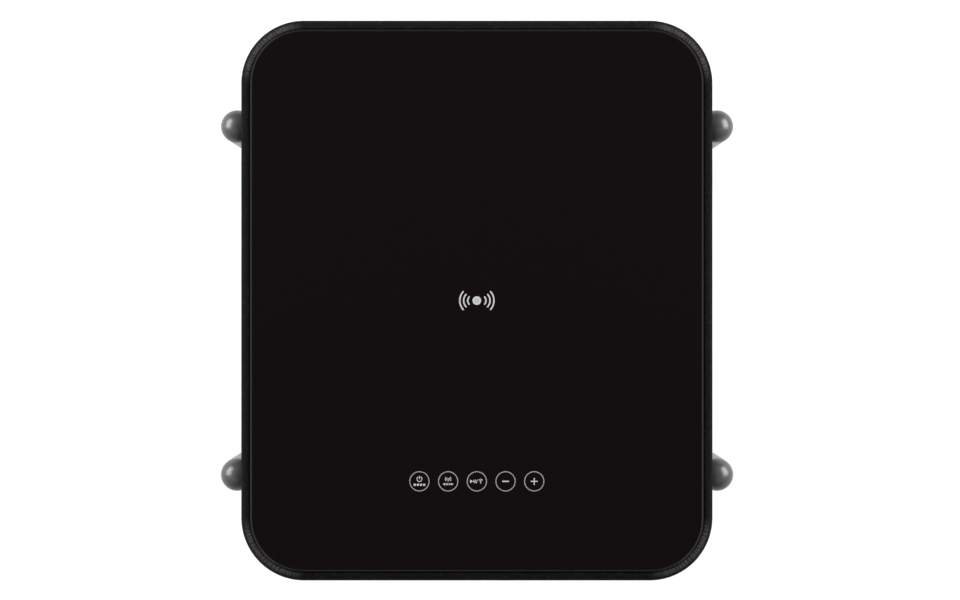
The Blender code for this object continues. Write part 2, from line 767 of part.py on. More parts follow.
SMALL_BASKET_LINE = [(0.043, -0.001), (0.0365, -0.001), (0.025, -0.020), (0.014, -0.020)]
SMALL_CONE = [
    (0, -0.0043),
    (0.006, -0.0053),
    (0.0125, -0.0091),
    (0.0262, -0.0006),
    (0.0280, -0.0006),
    (0.0280, -0.0012),
    (0.0260, -0.0012),
    (0.0126, -0.0098),
    (0.0126, -0.0253),
    (0.0118, -0.0253),
    (0.0118, -0.0096),
    (0.006, -0.0061),
    (0, -0.0051),
]
SMALL_MOTOR = [
    (0, -0.0212),
    (0.0112, -0.0212),
    (0.0112, -0.033),
    (0.0134, -0.033),
    (0.0134, -0.0212),
    (0.022, -0.0212),
    (0.022, -0.038),
    (0, -0.038),
]
SMALL_BASKET_THICKNESS = 0.0014
SMALL_ROLL_CENTRE = 0.031
SMALL_ROLL_RADIUS = 0.003
SMALL_ROLL_HEIGHT = 0.0003
SMALL_ROLL_LIP = 0.0025
SMALL_SURROUND_THICKNESS = 0.0006


def make_side_driver(side):
    """A small full-range driver behind the wall, facing out through the cloth."""
    sign = SIDES[side]
    axis = axis_empty(
        side + "_driver_axis", (sign * WALL_FACE_X, 0, SIDE_DRIVER_Z), (0, sign * math.pi / 2, 0)
    )
    here = {"parent": axis, "steps": 20}
    basket = offset_line(SMALL_BASKET_LINE, SMALL_BASKET_THICKNESS)
    turned(side + "_driver_basket", basket, "black_steel", **here)
    roll = roll_line(SMALL_ROLL_CENTRE, SMALL_ROLL_RADIUS, SMALL_ROLL_HEIGHT, SMALL_ROLL_LIP, 5)
    turned(side + "_driver_surround", offset_line(roll, SMALL_SURROUND_THICKNESS), "rubber", **here)
    turned(side + "_driver_cone", SMALL_CONE, "paper_cone", **here)
    turned(side + "_driver_motor", SMALL_MOTOR, "steel", **here)


def make_port():
    bottom = UNDER_BASE - PORT_LIP_THICKNESS
    top = BODY_BOTTOM + PORT_LENGTH
    outer = PORT_BORE + PORT_WALL
    lip = PORT_BORE + PORT_FLARE + PORT_LIP
    profile = [(outer, top), (outer, UNDER_BASE), (lip, UNDER_BASE), (lip, bottom)]
    profile += arc(PORT_BORE + PORT_FLARE, bottom + PORT_FLARE, PORT_FLARE, 270, 180, 4)
    profile += [(PORT_BORE, top)]
    turned("port_tube", profile, "plastic", location=(0, PORT_Y, 0))


# ---------------------------------------------------------------- rear panel and electronics

def on_panel(x):
    """Where a piece with its own +Z pointing out of the back sits on the panel's face."""
    return {"location": (x, PANEL_FACE_Y, PANEL_Z), "rotation": (-math.pi / 2, 0, 0)}


def make_rear_panel():
    outline = rounded_rectangle(PANEL_WIDTH, PANEL_HEIGHT, PANEL_RADIUS, steps=4)
    holes = [
        rounded_rectangle(*ROCKER_OPENING, ROCKER_OPENING_CORNER, ROCKER_X, 0, steps=1),
        circle(DC_OPENING, DC_X, 0, steps=SMALL_STEPS),
        circle(AUX_OPENING, AUX_X, 0, steps=SMALL_STEPS),
        rounded_rectangle(*USB_OPENING, USB_OPENING_CORNER, USB_X, 0, steps=3),
    ]
    panel = slab("rear_panel", [outline, *holes], -PANEL_THICKNESS, 0, "plastic", **on_panel(0))
    boss_back = BOARD_FACE_Y - PANEL_FACE_Y + GAP
    for number, (sx, sy) in enumerate(CORNERS.values()):
        boss = slab(
            f"panel_boss_{number}",
            [circle(BOSS_RADIUS, sx * BOSS_X, sy * BOSS_Z, steps=10)],
            boss_back,
            -PANEL_THICKNESS / 2,
            None,
            **on_panel(0),
        )
        join(panel, boss)


SOCKET_RIM = 0.0009
SOCKET_BORE_END = -0.0095
DC_BORE = 0.0032
DC_PIN = 0.001
DC_PIN_END = -0.001
DC_RIM_RADIUS = 0.0054
DC_NECK = 0.004
DC_BODY = 0.006
AUX_BORE = 0.00178
AUX_RIM_RADIUS = 0.0042
AUX_NECK = 0.003
AUX_BODY = 0.005
USB_SHELL = (0.0095, 0.0037, 0.0018)
USB_MOUTH = (0.0084, 0.0026, 0.0012)
USB_TONGUE = (0.0067, 0.0007, 0.0002)
USB_PROUD = 0.0002
USB_MOUTH_END = -0.006


def make_sockets():
    behind = -PANEL_THICKNESS - GAP
    back = BOARD_FACE_Y - PANEL_FACE_Y + GAP
    rim = GAP + SOCKET_RIM
    end = SOCKET_BORE_END
    jack = [(0, DC_PIN_END), (DC_PIN, DC_PIN_END), (DC_PIN, end), (DC_BORE, end), (DC_BORE, rim)]
    jack += [(DC_RIM_RADIUS, rim), (DC_RIM_RADIUS, GAP), (DC_NECK, GAP), (DC_NECK, behind)]
    jack += [(DC_BODY, behind), (DC_BODY, back), (0, back)]
    turned("dc_jack", jack, "plastic", SMALL_STEPS, **on_panel(DC_X))
    aux = [(0, end), (AUX_BORE, end), (AUX_BORE, rim), (AUX_RIM_RADIUS, rim), (AUX_RIM_RADIUS, GAP)]
    aux += [(AUX_NECK, GAP), (AUX_NECK, behind), (AUX_BODY, behind), (AUX_BODY, back), (0, back)]
    turned("aux_jack", aux, "plastic", SMALL_STEPS, **on_panel(AUX_X))
    shell = rounded_rectangle(*USB_SHELL, steps=3)
    usb = slab("usb_port", [shell], back, USB_PROUD, "steel", **on_panel(USB_X))
    mouth = rounded_rectangle(*USB_MOUTH, steps=3)
    tongue = rounded_rectangle(*USB_TONGUE, steps=1)
    socket = slab("usb_mouth", [mouth, tongue], USB_MOUTH_END, SOCKET_RIM, None, **on_panel(USB_X))
    cut(usb, socket)


ROCKER_PIVOT = -0.006
ROCKER_WIDTH = 0.0118
ROCKER_WELL = (0.0126, 0.0214, 0.0005)
BEZEL_FLANGE = (0.0184, 0.0274, 0.0015)
BEZEL_SLEEVE = (0.0150, 0.0240, 0.0008)
BEZEL_FACE = 0.0013
BEZEL_BACK = -0.0145
AXLE_HOLE_RADIUS = 0.0015
PADDLE = [
    (0.0001, -0.0093),
    (0.0062, -0.0093),
    (0.0046, 0),
    (0.0062, 0.0093),
    (0.0001, 0.0093),
    (-0.004, 0.002),
    (-0.004, -0.002),
]
PIN_RADIUS = 0.0012
PIN_HALF = 0.0072


def make_rocker():
    """A rocker in a bezel. Its upper end is pressed in at rest."""
    flange = slab(
        "rocker_frame",
        [rounded_rectangle(*BEZEL_FLANGE, steps=3), rounded_rectangle(*ROCKER_WELL, steps=1)],
        GAP,
        BEZEL_FACE,
        "plastic",
        **on_panel(ROCKER_X),
    )
    sleeve = slab(
        "rocker_sleeve",
        [rounded_rectangle(*BEZEL_SLEEVE, steps=1), rounded_rectangle(*ROCKER_WELL, steps=1)],
        BEZEL_BACK,
        (GAP + BEZEL_FACE) / 2,
        None,
        **on_panel(ROCKER_X),
    )
    axle = {"location": (ROCKER_X, PANEL_FACE_Y + ROCKER_PIVOT, PANEL_Z)}
    reach = BEZEL_FLANGE[0]
    axle_hole = cylinder(
        "axle_hole", AXLE_HOLE_RADIUS, -reach, reach, rotation=(0, math.pi / 2, 0), **axle
    )
    join(flange, sleeve)
    cut(flange, axle_hole)
    pivot = axis_empty("rocker_axis", axle["location"], (ROCKER_TILT, 0, 0))
    half = ROCKER_WIDTH / 2
    rocker = slab(
        "power_rocker",
        [PADDLE],
        -half,
        half,
        "plastic",
        parent=pivot,
        rotation=(math.pi / 2, 0, math.pi / 2),
    )
    pin = cylinder(
        "rocker_pin", PIN_RADIUS, -PIN_HALF, PIN_HALF, parent=pivot, rotation=(0, math.pi / 2, 0)
    )
    join(rocker, pin)


AMP_SIZE = (0.132, 0.082)
AMP_CORNER = 0.003
FIN_COUNT = 7
FIN_PITCH = 0.007
FIN_THICKNESS = 0.002
SINK_BASE = 0.004
SINK_DEPTH = 0.028
SINK_LEFT = -0.058
SINK_HALF_HEIGHT = 0.025
CAPACITOR_RADIUS = 0.009
CAPACITOR_LENGTH = 0.030
CAPACITOR_PLACE = (0.012, 0.020)
CAPACITOR_EDGE = 0.001
RADIO_SIZE = (0.024, 0.016, 0.0008)
RADIO_PLACE = (0.045, 0.022)
RADIO_THICKNESS = 0.0026


def make_electronics():
    outline = rounded_rectangle(*AMP_SIZE, AMP_CORNER, steps=2)
    back = BOARD_FACE_Y - PANEL_FACE_Y
    slab("amp_board", [outline], back - BOARD_THICKNESS, back, "circuit_board", **on_panel(0))
    comb = [(SINK_LEFT, INNER_BOARD_Y)]
    for number in range(FIN_COUNT):
        x = SINK_LEFT + number * FIN_PITCH
        right = x + FIN_THICKNESS
        comb += [(x, INNER_BOARD_Y - SINK_DEPTH), (right, INNER_BOARD_Y - SINK_DEPTH)]
        if number < FIN_COUNT - 1:
            root = INNER_BOARD_Y - SINK_BASE
            comb += [(right, root), (x + FIN_PITCH, root)]
    comb.append((right, INNER_BOARD_Y))
    slab("heat_sink", [comb], PANEL_Z - SINK_HALF_HEIGHT, PANEL_Z + SINK_HALF_HEIGHT, "aluminium")
    x, above = CAPACITOR_PLACE
    capacitor = cylinder(
        "bulk_capacitor",
        CAPACITOR_RADIUS,
        0,
        CAPACITOR_LENGTH,
        "aluminium",
        location=(x, INNER_BOARD_Y, PANEL_Z + above),
        rotation=(math.pi / 2, 0, 0),
    )
    round_edges(capacitor, CAPACITOR_EDGE)
    x, above = RADIO_PLACE
    radio = rounded_rectangle(*RADIO_SIZE, x, PANEL_Z + above, steps=1)
    back = -INNER_BOARD_Y
    slab("radio_module", [radio], back, back + RADIO_THICKNESS, "steel", rotation=(math.pi / 2, 0, 0))


LEAD_RADIUS = 0.0016
LEAD_LOW = BASE_TOP + 0.006
LEAD_HIGH = TOP_BOARD_BOTTOM - 0.008


WOOFER_ROUTE = [
    (0.030, INNER_BOARD_Y, 0.372),
    (0.030, INNER_BOARD_Y - 0.012, 0.370),
    (0.034, INNER_BOARD_Y - 0.026, 0.350),
    (0.042, INNER_BOARD_Y - 0.040, LEAD_LOW + 0.004),
    (0.056, INNER_BOARD_Y - 0.068, LEAD_LOW),
    (0.058, INNER_BOARD_Y - 0.095, LEAD_LOW + 0.003),
    (0.052, 0.058, 0.338),
    (0.0455, 0.040, 0.3405),
]
TOUCH_ROUTE = [
    (0.052, KEY_ROW_Y, TOUCH_POCKET - 0.0002),
    (0.052, KEY_ROW_Y, TOP_BOARD_BOTTOM),
    (0.054, KEY_ROW_Y + 0.008, LEAD_HIGH),
    (0.062, KEY_ROW_Y + 0.050, LEAD_HIGH - 0.004),
    (0.064, 0.020, LEAD_HIGH - 0.006),
    (0.060, 0.100, LEAD_HIGH - 0.008),
    (0.054, INNER_BOARD_Y - 0.030, 0.458),
    (0.052, INNER_BOARD_Y - 0.012, 0.440),
    (0.052, INNER_BOARD_Y, 0.437),
]


def make_leads():
    tube("woofer_lead", smooth_route(WOOFER_ROUTE, 4), LEAD_RADIUS, "lead_sleeve")
    tube("touch_lead", smooth_route(TOUCH_ROUTE, 4), LEAD_RADIUS, "lead_sleeve")


def smooth_round_pieces():
    for obj in PARTS.objects:
        if obj.type != "MESH" or not obj.data.polygons:
            continue
        obj.data.shade_smooth()
        obj.data.set_sharp_from_angle(angle=math.radians(35))


def make_subwoofer():
    make_glass()
    make_tape()
    make_tray()
    make_touch_and_charging()
    wall, cloth = make_wall_and_cloth()
    make_base()
    make_legs(wall, cloth)
    make_woofer()
    for side in SIDES:
        make_side_driver(side)
    make_port()
    make_rear_panel()
    make_sockets()
    make_rocker()
    make_electronics()
    make_leads()
    smooth_round_pieces()


make_subwoofer()
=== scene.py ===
"""The looks of a side-table subwoofer: glass touch top, pleated cloth wrap, domed round legs,
the down-firing woofer with its port and guard, the side drivers and the rear panel."""

import json
import math

import bmesh
import bpy
import numpy as np
from mathutils import Matrix, Vector


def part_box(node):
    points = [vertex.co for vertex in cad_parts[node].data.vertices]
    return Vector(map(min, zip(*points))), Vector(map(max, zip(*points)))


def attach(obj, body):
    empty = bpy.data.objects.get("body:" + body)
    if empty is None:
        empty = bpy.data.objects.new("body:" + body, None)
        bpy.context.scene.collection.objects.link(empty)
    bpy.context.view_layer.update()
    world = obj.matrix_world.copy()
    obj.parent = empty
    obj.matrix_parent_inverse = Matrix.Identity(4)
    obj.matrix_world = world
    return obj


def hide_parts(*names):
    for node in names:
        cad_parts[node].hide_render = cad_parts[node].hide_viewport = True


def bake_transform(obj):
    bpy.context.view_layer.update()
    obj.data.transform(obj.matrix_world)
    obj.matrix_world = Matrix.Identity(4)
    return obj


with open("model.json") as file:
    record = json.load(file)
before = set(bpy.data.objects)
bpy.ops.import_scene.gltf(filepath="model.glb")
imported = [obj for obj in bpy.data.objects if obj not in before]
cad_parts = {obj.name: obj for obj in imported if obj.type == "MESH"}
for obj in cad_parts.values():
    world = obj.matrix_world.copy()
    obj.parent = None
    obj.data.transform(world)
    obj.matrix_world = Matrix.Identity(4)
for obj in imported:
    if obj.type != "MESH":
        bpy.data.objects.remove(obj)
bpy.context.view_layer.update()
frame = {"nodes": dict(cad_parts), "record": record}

MM = 0.001
NODES = frame["nodes"]

# ---- sizes from the frame

CLOTH_LOW, CLOTH_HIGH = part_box("grille_cloth")
GLASS_LOW, GLASS_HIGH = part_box("glass_top")
TRIM_LOW, TRIM_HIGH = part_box("bottom_trim")
PANEL_LOW, PANEL_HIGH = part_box("rear_panel")

BODY_WIDTH = CLOTH_HIGH.x - CLOTH_LOW.x
BODY_DEPTH = CLOTH_HIGH.y - CLOTH_LOW.y
CORNER_RADIUS = 44 * MM
CLOTH_THICKNESS = 1 * MM
GLASS_INSET = (BODY_WIDTH - (GLASS_HIGH.x - GLASS_LOW.x)) / 2
TOP = GLASS_HIGH.z
UNDER_BASE = TRIM_HIGH.z
KEY_ROW_Y = (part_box("touch_board")[0].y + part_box("touch_board")[1].y) / 2
WOOFER_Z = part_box("base_board")[0].z
SIDE_FACE_X = 154.7 * MM
SIDE_DRIVER_Z = 410 * MM
PANEL_Z = (PANEL_LOW.z + PANEL_HIGH.z) / 2
PANEL_FACE_Y = PANEL_HIGH.y
PORT_Y = (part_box("port_tube")[0].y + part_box("port_tube")[1].y) / 2
CORNERS = {"front_left": (-1, -1), "front_right": (1, -1), "rear_left": (-1, 1), "rear_right": (1, 1)}
SIDES = {"left": -1, "right": 1}


# ---- shader nodes


class Nodes:
    """Short ways to add shader nodes to the tree of a material or a world."""

    def __init__(self, tree):
        self.tree = tree
        self.where = tree.nodes.new("ShaderNodeTexCoord")

    @staticmethod
    def set(node, values):
        for socket, value in values.items():
            node.inputs[socket.replace("_", " ")].default_value = value

    def node(self, kind, values=None, **properties):
        made = self.tree.nodes.new("ShaderNode" + kind)
        for key, value in properties.items():
            setattr(made, key, value)
        self.set(made, values or {})
        return made

    def link(self, output, socket):
        self.tree.links.new(output, socket)

    def axes(self, space):
        """The coordinates' X, Y and Z, each on its own."""
        split = self.node("SeparateXYZ")
        self.link(self.where.outputs[space], split.inputs[0])
        return split.outputs

    def maths(self, operation, *values):
        made = self.node("Math", operation=operation)
        for socket, value in zip(made.inputs, values):
            if isinstance(value, (int, float)):
                socket.default_value = value
            else:
                self.link(value, socket)
        return made.outputs[0]

    def ramp(self, fac, stops):
        """Colours or values along fac: pairs of place and colour."""
        made = self.node("ValToRGB")
        elements = made.color_ramp.elements
        while len(elements) < len(stops):
            elements.new(0.5)
        for element, (place, colour) in zip(elements, stops):
            element.position = place
            element.color = (*colour, 1) if hasattr(colour, "__len__") else (colour, colour, colour, 1)
        self.link(fac, made.inputs["Fac"])
        return made.outputs["Color"]

    def mix(self, fac, colour, over):
        """The colour where fac is 0, and the plain colour over it where fac is 1."""
        made = self.node("Mix", data_type="RGBA")
        factor, first, second = made.inputs[0], made.inputs[6], made.inputs[7]
        second.default_value = (*over, 1)
        self.link(fac, factor)
        self.link(colour, first)
        return made.outputs[2]


class Look(Nodes):
    """A material with a Principled shader, whose textures are in metres."""

    def __init__(self, name, colour, roughness, metallic=0.0, **sockets):
        self.material = bpy.data.materials.new(name)
        self.material.use_nodes = True
        super().__init__(self.material.node_tree)
        self.shader = self.tree.nodes["Principled BSDF"]
        self.set(self.shader, {"Base Color": (*colour, 1), "Roughness": roughness, "Metallic": metallic})
        self.set(self.shader, sockets)
        self.height = None

    def place(self, stretch=(1, 1, 1), space="Object"):
        """Coordinates stretched along each axis."""
        mapping = self.node("Mapping", {"Scale": stretch})
        self.link(self.where.outputs[space], mapping.inputs["Vector"])
        return mapping.outputs["Vector"]

    def noise(self, scale, detail=3, stretch=(1, 1, 1), space="Object", distortion=0.0):
        texture = self.node("TexNoise", {"Scale": scale, "Detail": detail, "Distortion": distortion})
        self.link(self.place(stretch, space), texture.inputs["Vector"])
        return texture.outputs["Fac"]

    def cells(self, scale, feature="F1"):
        texture = self.node("TexVoronoi", {"Scale": scale}, feature=feature)
        self.link(self.place(), texture.inputs["Vector"])
        return texture.outputs["Distance"]

    def bands(self, pitch, direction="X", space="Object", distortion=0.0, kind="BANDS"):
        """Waves that repeat every pitch metres."""
        waves = {"Scale": math.tau / 20 / pitch, "Distortion": distortion}
        way = {"wave_type": kind, kind.lower() + "_direction": direction}
        texture = self.node("TexWave", waves, **way)
        self.link(self.place(space=space), texture.inputs["Vector"])
        return texture.outputs["Fac"]

    def paint(self, colour):
        self.link(colour, self.shader.inputs["Base Color"])

    def colour(self, fac, stops):
        self.paint(self.ramp(fac, stops))

    def roughness(self, fac, low, high):
        made = self.node("MapRange", {"To Min": low, "To Max": high})
        self.link(fac, made.inputs["Value"])
        self.link(made.outputs["Result"], self.shader.inputs["Roughness"])

    def bump(self, fac, depth, strength=1.0):
        """Raises the surface by up to depth metres where fac is 1. Bumps add up."""
        made = self.node("Bump", {"Strength": strength, "Distance": depth})
        self.link(fac, made.inputs["Height"])
        if self.height is not None:
            self.link(self.height, made.inputs["Normal"])
        self.height = made.outputs["Normal"]
        self.link(self.height, self.shader.inputs["Normal"])


# ---- materials


def glass_look():
    look = Look("black_glass", (0.0035, 0.0025, 0.0027), 0.03, IOR=1.5, Specular_IOR_Level=0.5)
    wipes = look.noise(9, 4, (1, 3, 1), distortion=0.6)
    look.roughness(wipes, 0.015, 0.045)
    look.bump(look.noise(14, 1), 0.00002)
    return look.material


def ink_look(name, tone):
    look = Look(name, (tone, tone, tone), 0.45)
    grain = look.noise(2500, 2)
    look.colour(grain, [(0.3, tone * 0.93), (0.7, tone)])
    look.bump(grain, 0.00001)
    return look.material


def cloth_look():
    """A plain weave of melange charcoal yarn, laid along the cloth's own directions, with a painted highlight
    that lightens the corners and most of all the pleats' crests.
    """
    look = Look("charcoal_cloth", (0.014, 0.0135, 0.014), 0.88, Specular_IOR_Level=0.08)
    yarn = 1.1 * MM
    warp = look.bands(yarn, "X", "UV", 0.4)
    weft = look.bands(yarn, "Y", "UV", 0.4)
    over = look.bands(2 * yarn, "X", "UV")
    under = look.bands(2 * yarn, "Y", "UV")
    turns = [look.maths("SUBTRACT", wave, 0.5) for wave in (over, under)]
    cross = look.maths("GREATER_THAN", look.maths("MULTIPLY", *turns), 0.0)
    first = look.maths("MULTIPLY", warp, cross)
    second = look.maths("MULTIPLY", weft, look.maths("SUBTRACT", 1.0, cross))
    weave = look.maths("ADD", first, second)
    fibres = look.noise(2600, 3, space="UV")
    melange = look.noise(520, 5, (1, 0.4, 1), "UV")
    mixed = look.maths("ADD", look.maths("MULTIPLY", melange, 0.72), look.maths("MULTIPLY", weave, 0.28))
    darkest, dark = (0.30, (0.0004, 0.0004, 0.0005)), (0.46, (0.0011, 0.0010, 0.0011))
    pale, palest = (0.60, (0.0042, 0.0040, 0.0042)), (0.75, (0.013, 0.0125, 0.013))
    yarns = look.ramp(mixed, [darkest, dark, pale, palest])
    # painted highlight: a pale colour mixed in at the corners, lightest on the pleats' crests, in uneven
    # patches
    crest_highlight = look.node("Attribute", attribute_name="crest_highlight").outputs["Fac"]
    highlight_patches = look.maths("ADD", look.noise(700, 3, (1, 0.4, 1), "UV"), 0.35)
    look.paint(look.mix(look.maths("MULTIPLY", crest_highlight, highlight_patches), yarns, (0.075, 0.071, 0.074)))
    look.bump(weave, 0.00035, 0.9)
    look.bump(fibres, 0.00008, 0.7)
    look.roughness(melange, 0.78, 0.98)
    return look.material


def lacquer_look():
    look = Look("graphite_lacquer", (0.042, 0.040, 0.039), 0.31, Specular_IOR_Level=0.45)
    grain = look.noise(240, 5, (1, 1, 0.07), distortion=0.4)
    pores = look.noise(1100, 2, (1, 1, 0.05))
    look.colour(grain, [(0.25, (0.043, 0.0405, 0.041)), (0.75, (0.056, 0.053, 0.0535))])
    look.bump(look.ramp(pores, [(0.35, 0.0), (0.6, 1.0)]), 0.000018)
    look.bump(look.noise(60, 2), 0.00004)
    look.roughness(grain, 0.26, 0.36)
    return look.material


def plain_look(name, colour, roughness, mottle, tones, bumps, gloss, glosses, places=(0.3, 0.7)):
    """A mottled colour, fine bumps and an uneven gloss. A texture is the scale, detail and distortion of
    noise, or the scale of cells alone."""
    look = Look(name, colour, roughness)

    def texture(scale, detail=None, distortion=0.0):
        return look.cells(scale) if detail is None else look.noise(scale, detail, distortion=distortion)

    look.colour(texture(*mottle), list(zip(places, tones)))
    for pattern, depth in bumps:
        look.bump(texture(*pattern), depth)
    look.roughness(texture(*gloss), *glosses)
    return look.material


def wall_skin(look):
    """1 on the wall's outer skin and on its lower edge, and 0 inside."""
    skin = 5 * MM
    axes = look.axes("Object")
    squares = []
    for axis, size in (("X", BODY_WIDTH), ("Y", BODY_DEPTH)):
        past = look.maths("SUBTRACT", look.maths("ABSOLUTE", axes[axis]), size / 2 - CORNER_RADIUS)
        squares.append(look.maths("POWER", look.maths("MAXIMUM", past, 0.0), 2.0))
    reach = look.maths("SQRT", look.maths("ADD", *squares))
    outside = look.maths("GREATER_THAN", reach, CORNER_RADIUS - skin)
    under = look.maths("LESS_THAN", axes["Z"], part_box("cabinet_wall")[0].z + 1 * MM)
    return look.maths("MAXIMUM", outside, under)


def fibreboard_look(name, sealed=False):
    """Pressed chips. The box's wall is sealed black outside, so that it doesn't show beside the cloth."""
    look = Look(name, (0.24, 0.15, 0.085), 0.85)
    chips = look.noise(900, 5)
    dark, middle, pale = (0.15, 0.088, 0.045), (0.25, 0.155, 0.085), (0.36, 0.24, 0.15)
    colour = look.ramp(chips, [(0.3, dark), (0.5, middle), (0.72, pale)])
    look.paint(look.mix(wall_skin(look), colour, (0.008, 0.008, 0.008)) if sealed else colour)
    look.bump(chips, 0.00012)
    look.roughness(chips, 0.75, 0.95)
    return look.material


def metal_look(name, colour, low, high):
    look = Look(name, colour, low, 1.0)
    lines = look.noise(900, 4, (1, 1, 0.06))
    dark = tuple(channel * 0.86 for channel in colour)
    look.colour(look.noise(35, 4), [(0.3, dark), (0.7, colour)])
    look.bump(lines, 0.000015)
    look.roughness(lines, low, high)
    return look.material


def winding_look(name, kind, direction, pitch):
    look = Look(name, (0.72, 0.33, 0.16), 0.3, 1.0)
    turns = look.bands(pitch, direction, kind=kind)
    look.colour(turns, [(0.0, (0.25, 0.09, 0.04)), (0.6, (0.72, 0.33, 0.16))])
    look.bump(turns, 0.00012)
    look.roughness(look.noise(500, 2), 0.25, 0.4)
    return look.material


def board_look():
    """Solder mask over copper tracks, with tinned pads."""
    look = Look("circuit_board", (0.012, 0.10, 0.04), 0.35)
    tracks = look.cells(140, feature="DISTANCE_TO_EDGE")
    pads = look.cells(260)
    base = look.ramp(tracks, [(0.02, (0.02, 0.17, 0.07)), (0.06, (0.010, 0.085, 0.034))])
    tin = look.ramp(pads, [(0.10, 1.0), (0.13, 0.0)])
    look.paint(look.mix(tin, base, (0.72, 0.72, 0.70)))
    look.bump(look.ramp(tracks, [(0.02, 1.0), (0.06, 0.0)]), 0.00004)
    look.roughness(look.noise(200, 2), 0.28, 0.45)
    return look.material


def spider_look():
    look = Look("dipped_cotton", (0.42, 0.28, 0.12), 0.85)
    weave = look.maths("ADD", look.bands(0.9 * MM, "X"), look.bands(0.9 * MM, "Y"))
    look.colour(weave, [(0.2, (0.26, 0.15, 0.05)), (0.9, (0.48, 0.32, 0.14))])
    look.bump(weave, 0.00012)
    look.roughness(look.noise(400, 2), 0.75, 0.95)
    return look.material


FERRITE_GRAIN, PRESSED_FIBRES, FOAM_CELLS = (1400, 4), (1500, 5, 1.2), (1500,)

LOOKS = {
    "glass": glass_look(),
    "foam": plain_look(
        "closed_foam", (0.03, 0.03, 0.031), 0.9, FOAM_CELLS, (0.018, 0.036),
        [(FOAM_CELLS, 0.00015)], (300, 2), (0.8, 1.0), (0.1, 0.6),
    ),
    "black_plastic": plain_look(
        "black_plastic", (0.017, 0.017, 0.017), 0.38, (40, 3), (0.01445, 0.0187),
        [((2600, 2), 0.00003)], (300, 3), (0.38, 0.52),
    ),
    "circuit_board": board_look(),
    "ferrite": plain_look(
        "ferrite", (0.05, 0.05, 0.052), 0.6, FERRITE_GRAIN, (0.035, 0.065),
        [(FERRITE_GRAIN, 0.00005)], FERRITE_GRAIN, (0.5, 0.75),
    ),
    "fibreboard": fibreboard_look("fibreboard"),
    "base_paint": plain_look(
        "base_paint", (0.02, 0.02, 0.021), 0.55, (30, 4), (0.016, 0.023),
        [((420, 2), 0.00008), ((2200, 2), 0.00003)], (120, 3), (0.45, 0.65),
    ),
    "cloth": cloth_look(),
    "black_steel": plain_look(
        "powder_coat", (0.022, 0.022, 0.023), 0.5, (50, 3), (0.018, 0.025),
        [((1900,), 0.00004)], (700, 2), (0.42, 0.6),
    ),
    "rubber": plain_look(
        "moulded_rubber", (0.012, 0.012, 0.0125), 0.55, (60, 3), (0.009, 0.016),
        [((1800, 2), 0.00002)], (250, 3), (0.45, 0.65),
    ),
    "cone": plain_look(
        "pressed_fibre", (0.028, 0.028, 0.03), 0.75, PRESSED_FIBRES, (0.018, 0.038),
        [(PRESSED_FIBRES, 0.00008)], PRESSED_FIBRES, (0.65, 0.85),
    ),
    "spider_cloth": spider_look(),
    "steel": metal_look("zinc_steel", (0.56, 0.57, 0.58), 0.28, 0.42),
    "lead_sleeve": plain_look(
        "lead_sleeve", (0.014, 0.014, 0.015), 0.45, (90, 2), (0.011, 0.017),
        [((900, 2), 0.00002)], (200, 2), (0.4, 0.55),
    ),
    "aluminium": metal_look("aluminium", (0.76, 0.77, 0.78), 0.25, 0.4),
    "lacquered_wood": lacquer_look(),
    "copper": winding_look("coil_winding", "BANDS", "Z", 0.25 * MM),
}
SEALED_WALL = fibreboard_look("sealed_fibreboard", sealed=True)
SPIRAL = winding_look("flat_winding", "RINGS", "Z", 0.8 * MM)
MARK_INK = ink_look("mark_ink", 0.31)
KEY_INK = ink_look("key_ink", 0.188)
DOT_INK = ink_look("dot_ink", 0.256)
BLACK_SCREW = metal_look("black_screw", (0.05, 0.05, 0.052), 0.3, 0.45)
NICKEL = metal_look("nickel_contact", (0.66, 0.62, 0.55), 0.2, 0.3)

SLOT_OF = {row["node"]: row["material_slot"] for row in frame["record"]["subparts"]}


def paint_cad_nodes():
    for name, node in NODES.items():
        look = {"charging_coil": SPIRAL, "cabinet_wall": SEALED_WALL}.get(name, LOOKS[SLOT_OF[name]])
        node.data.materials.clear()
        node.data.materials.append(look)
        for polygon in node.data.polygons:
            polygon.material_index = 0


# ---- mesh making


def finish(obj, look, node=None, body="cabinet", slot=None, angle=35):
    """Shading, finish, the CAD node that it stands for, and the body it rides on. A look is a material,
    or the name of the slot that gives it."""
    slot = slot or SLOT_OF.get(node, look)
    obj.data.materials.clear()
    obj.data.materials.append(LOOKS[look] if isinstance(look, str) else look)
    obj.data.shade_smooth()
    obj.data.set_sharp_from_angle(angle=math.radians(angle))
    if body is not None:
        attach(obj, body)
    if node:
        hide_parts(node)


def placed(name, data, matrix=None):
    """A new object in the scene."""
    obj = bpy.data.objects.new(name, data)
    bpy.context.scene.collection.objects.link(obj)
    if matrix is not None:
        obj.matrix_world = matrix
    return obj


def mesh_object(name, points, faces, matrix=None):
    mesh = bpy.data.meshes.new(name)
    mesh.from_pydata([tuple(point) for point in points], [], faces)
    mesh.validate()
    return placed(name, mesh, matrix)


def grid(name, points, close_rows=False, caps=False, uv=None, matrix=None):
    """A skin over rows of points that close round their columns. Caps fill the first and last rows."""
    rows, columns = points.shape[:2]
    last = rows if close_rows else rows - 1
    faces, corners = [], []
    for i in range(last):
        here, there = i * columns, ((i + 1) % rows) * columns
        for j in range(columns):
            k = (j + 1) % columns
            faces.append((here + j, here + k, there + k, there + j))
            corners += [(i, j), (i, j + 1), (i + 1, j + 1), (i + 1, j)]
    if caps:
        faces.append(tuple(range(columns))[::-1])
        faces.append(tuple((rows - 1) * columns + j for j in range(columns)))
    obj = mesh_object(name, points.reshape(-1, 3), faces, matrix)
    if uv is not None:
        along, up = uv
        layer = obj.data.uv_layers.new(name="cloth")
        values = np.zeros((len(obj.data.loops), 2), np.float32)
        values[: len(corners)] = [(along[j], up[i]) for i, j in corners]
        layer.data.foreach_set("uv", values.ravel())
    return obj


def in_mm(points):
    return [(x * MM, y * MM) for x, y in points]


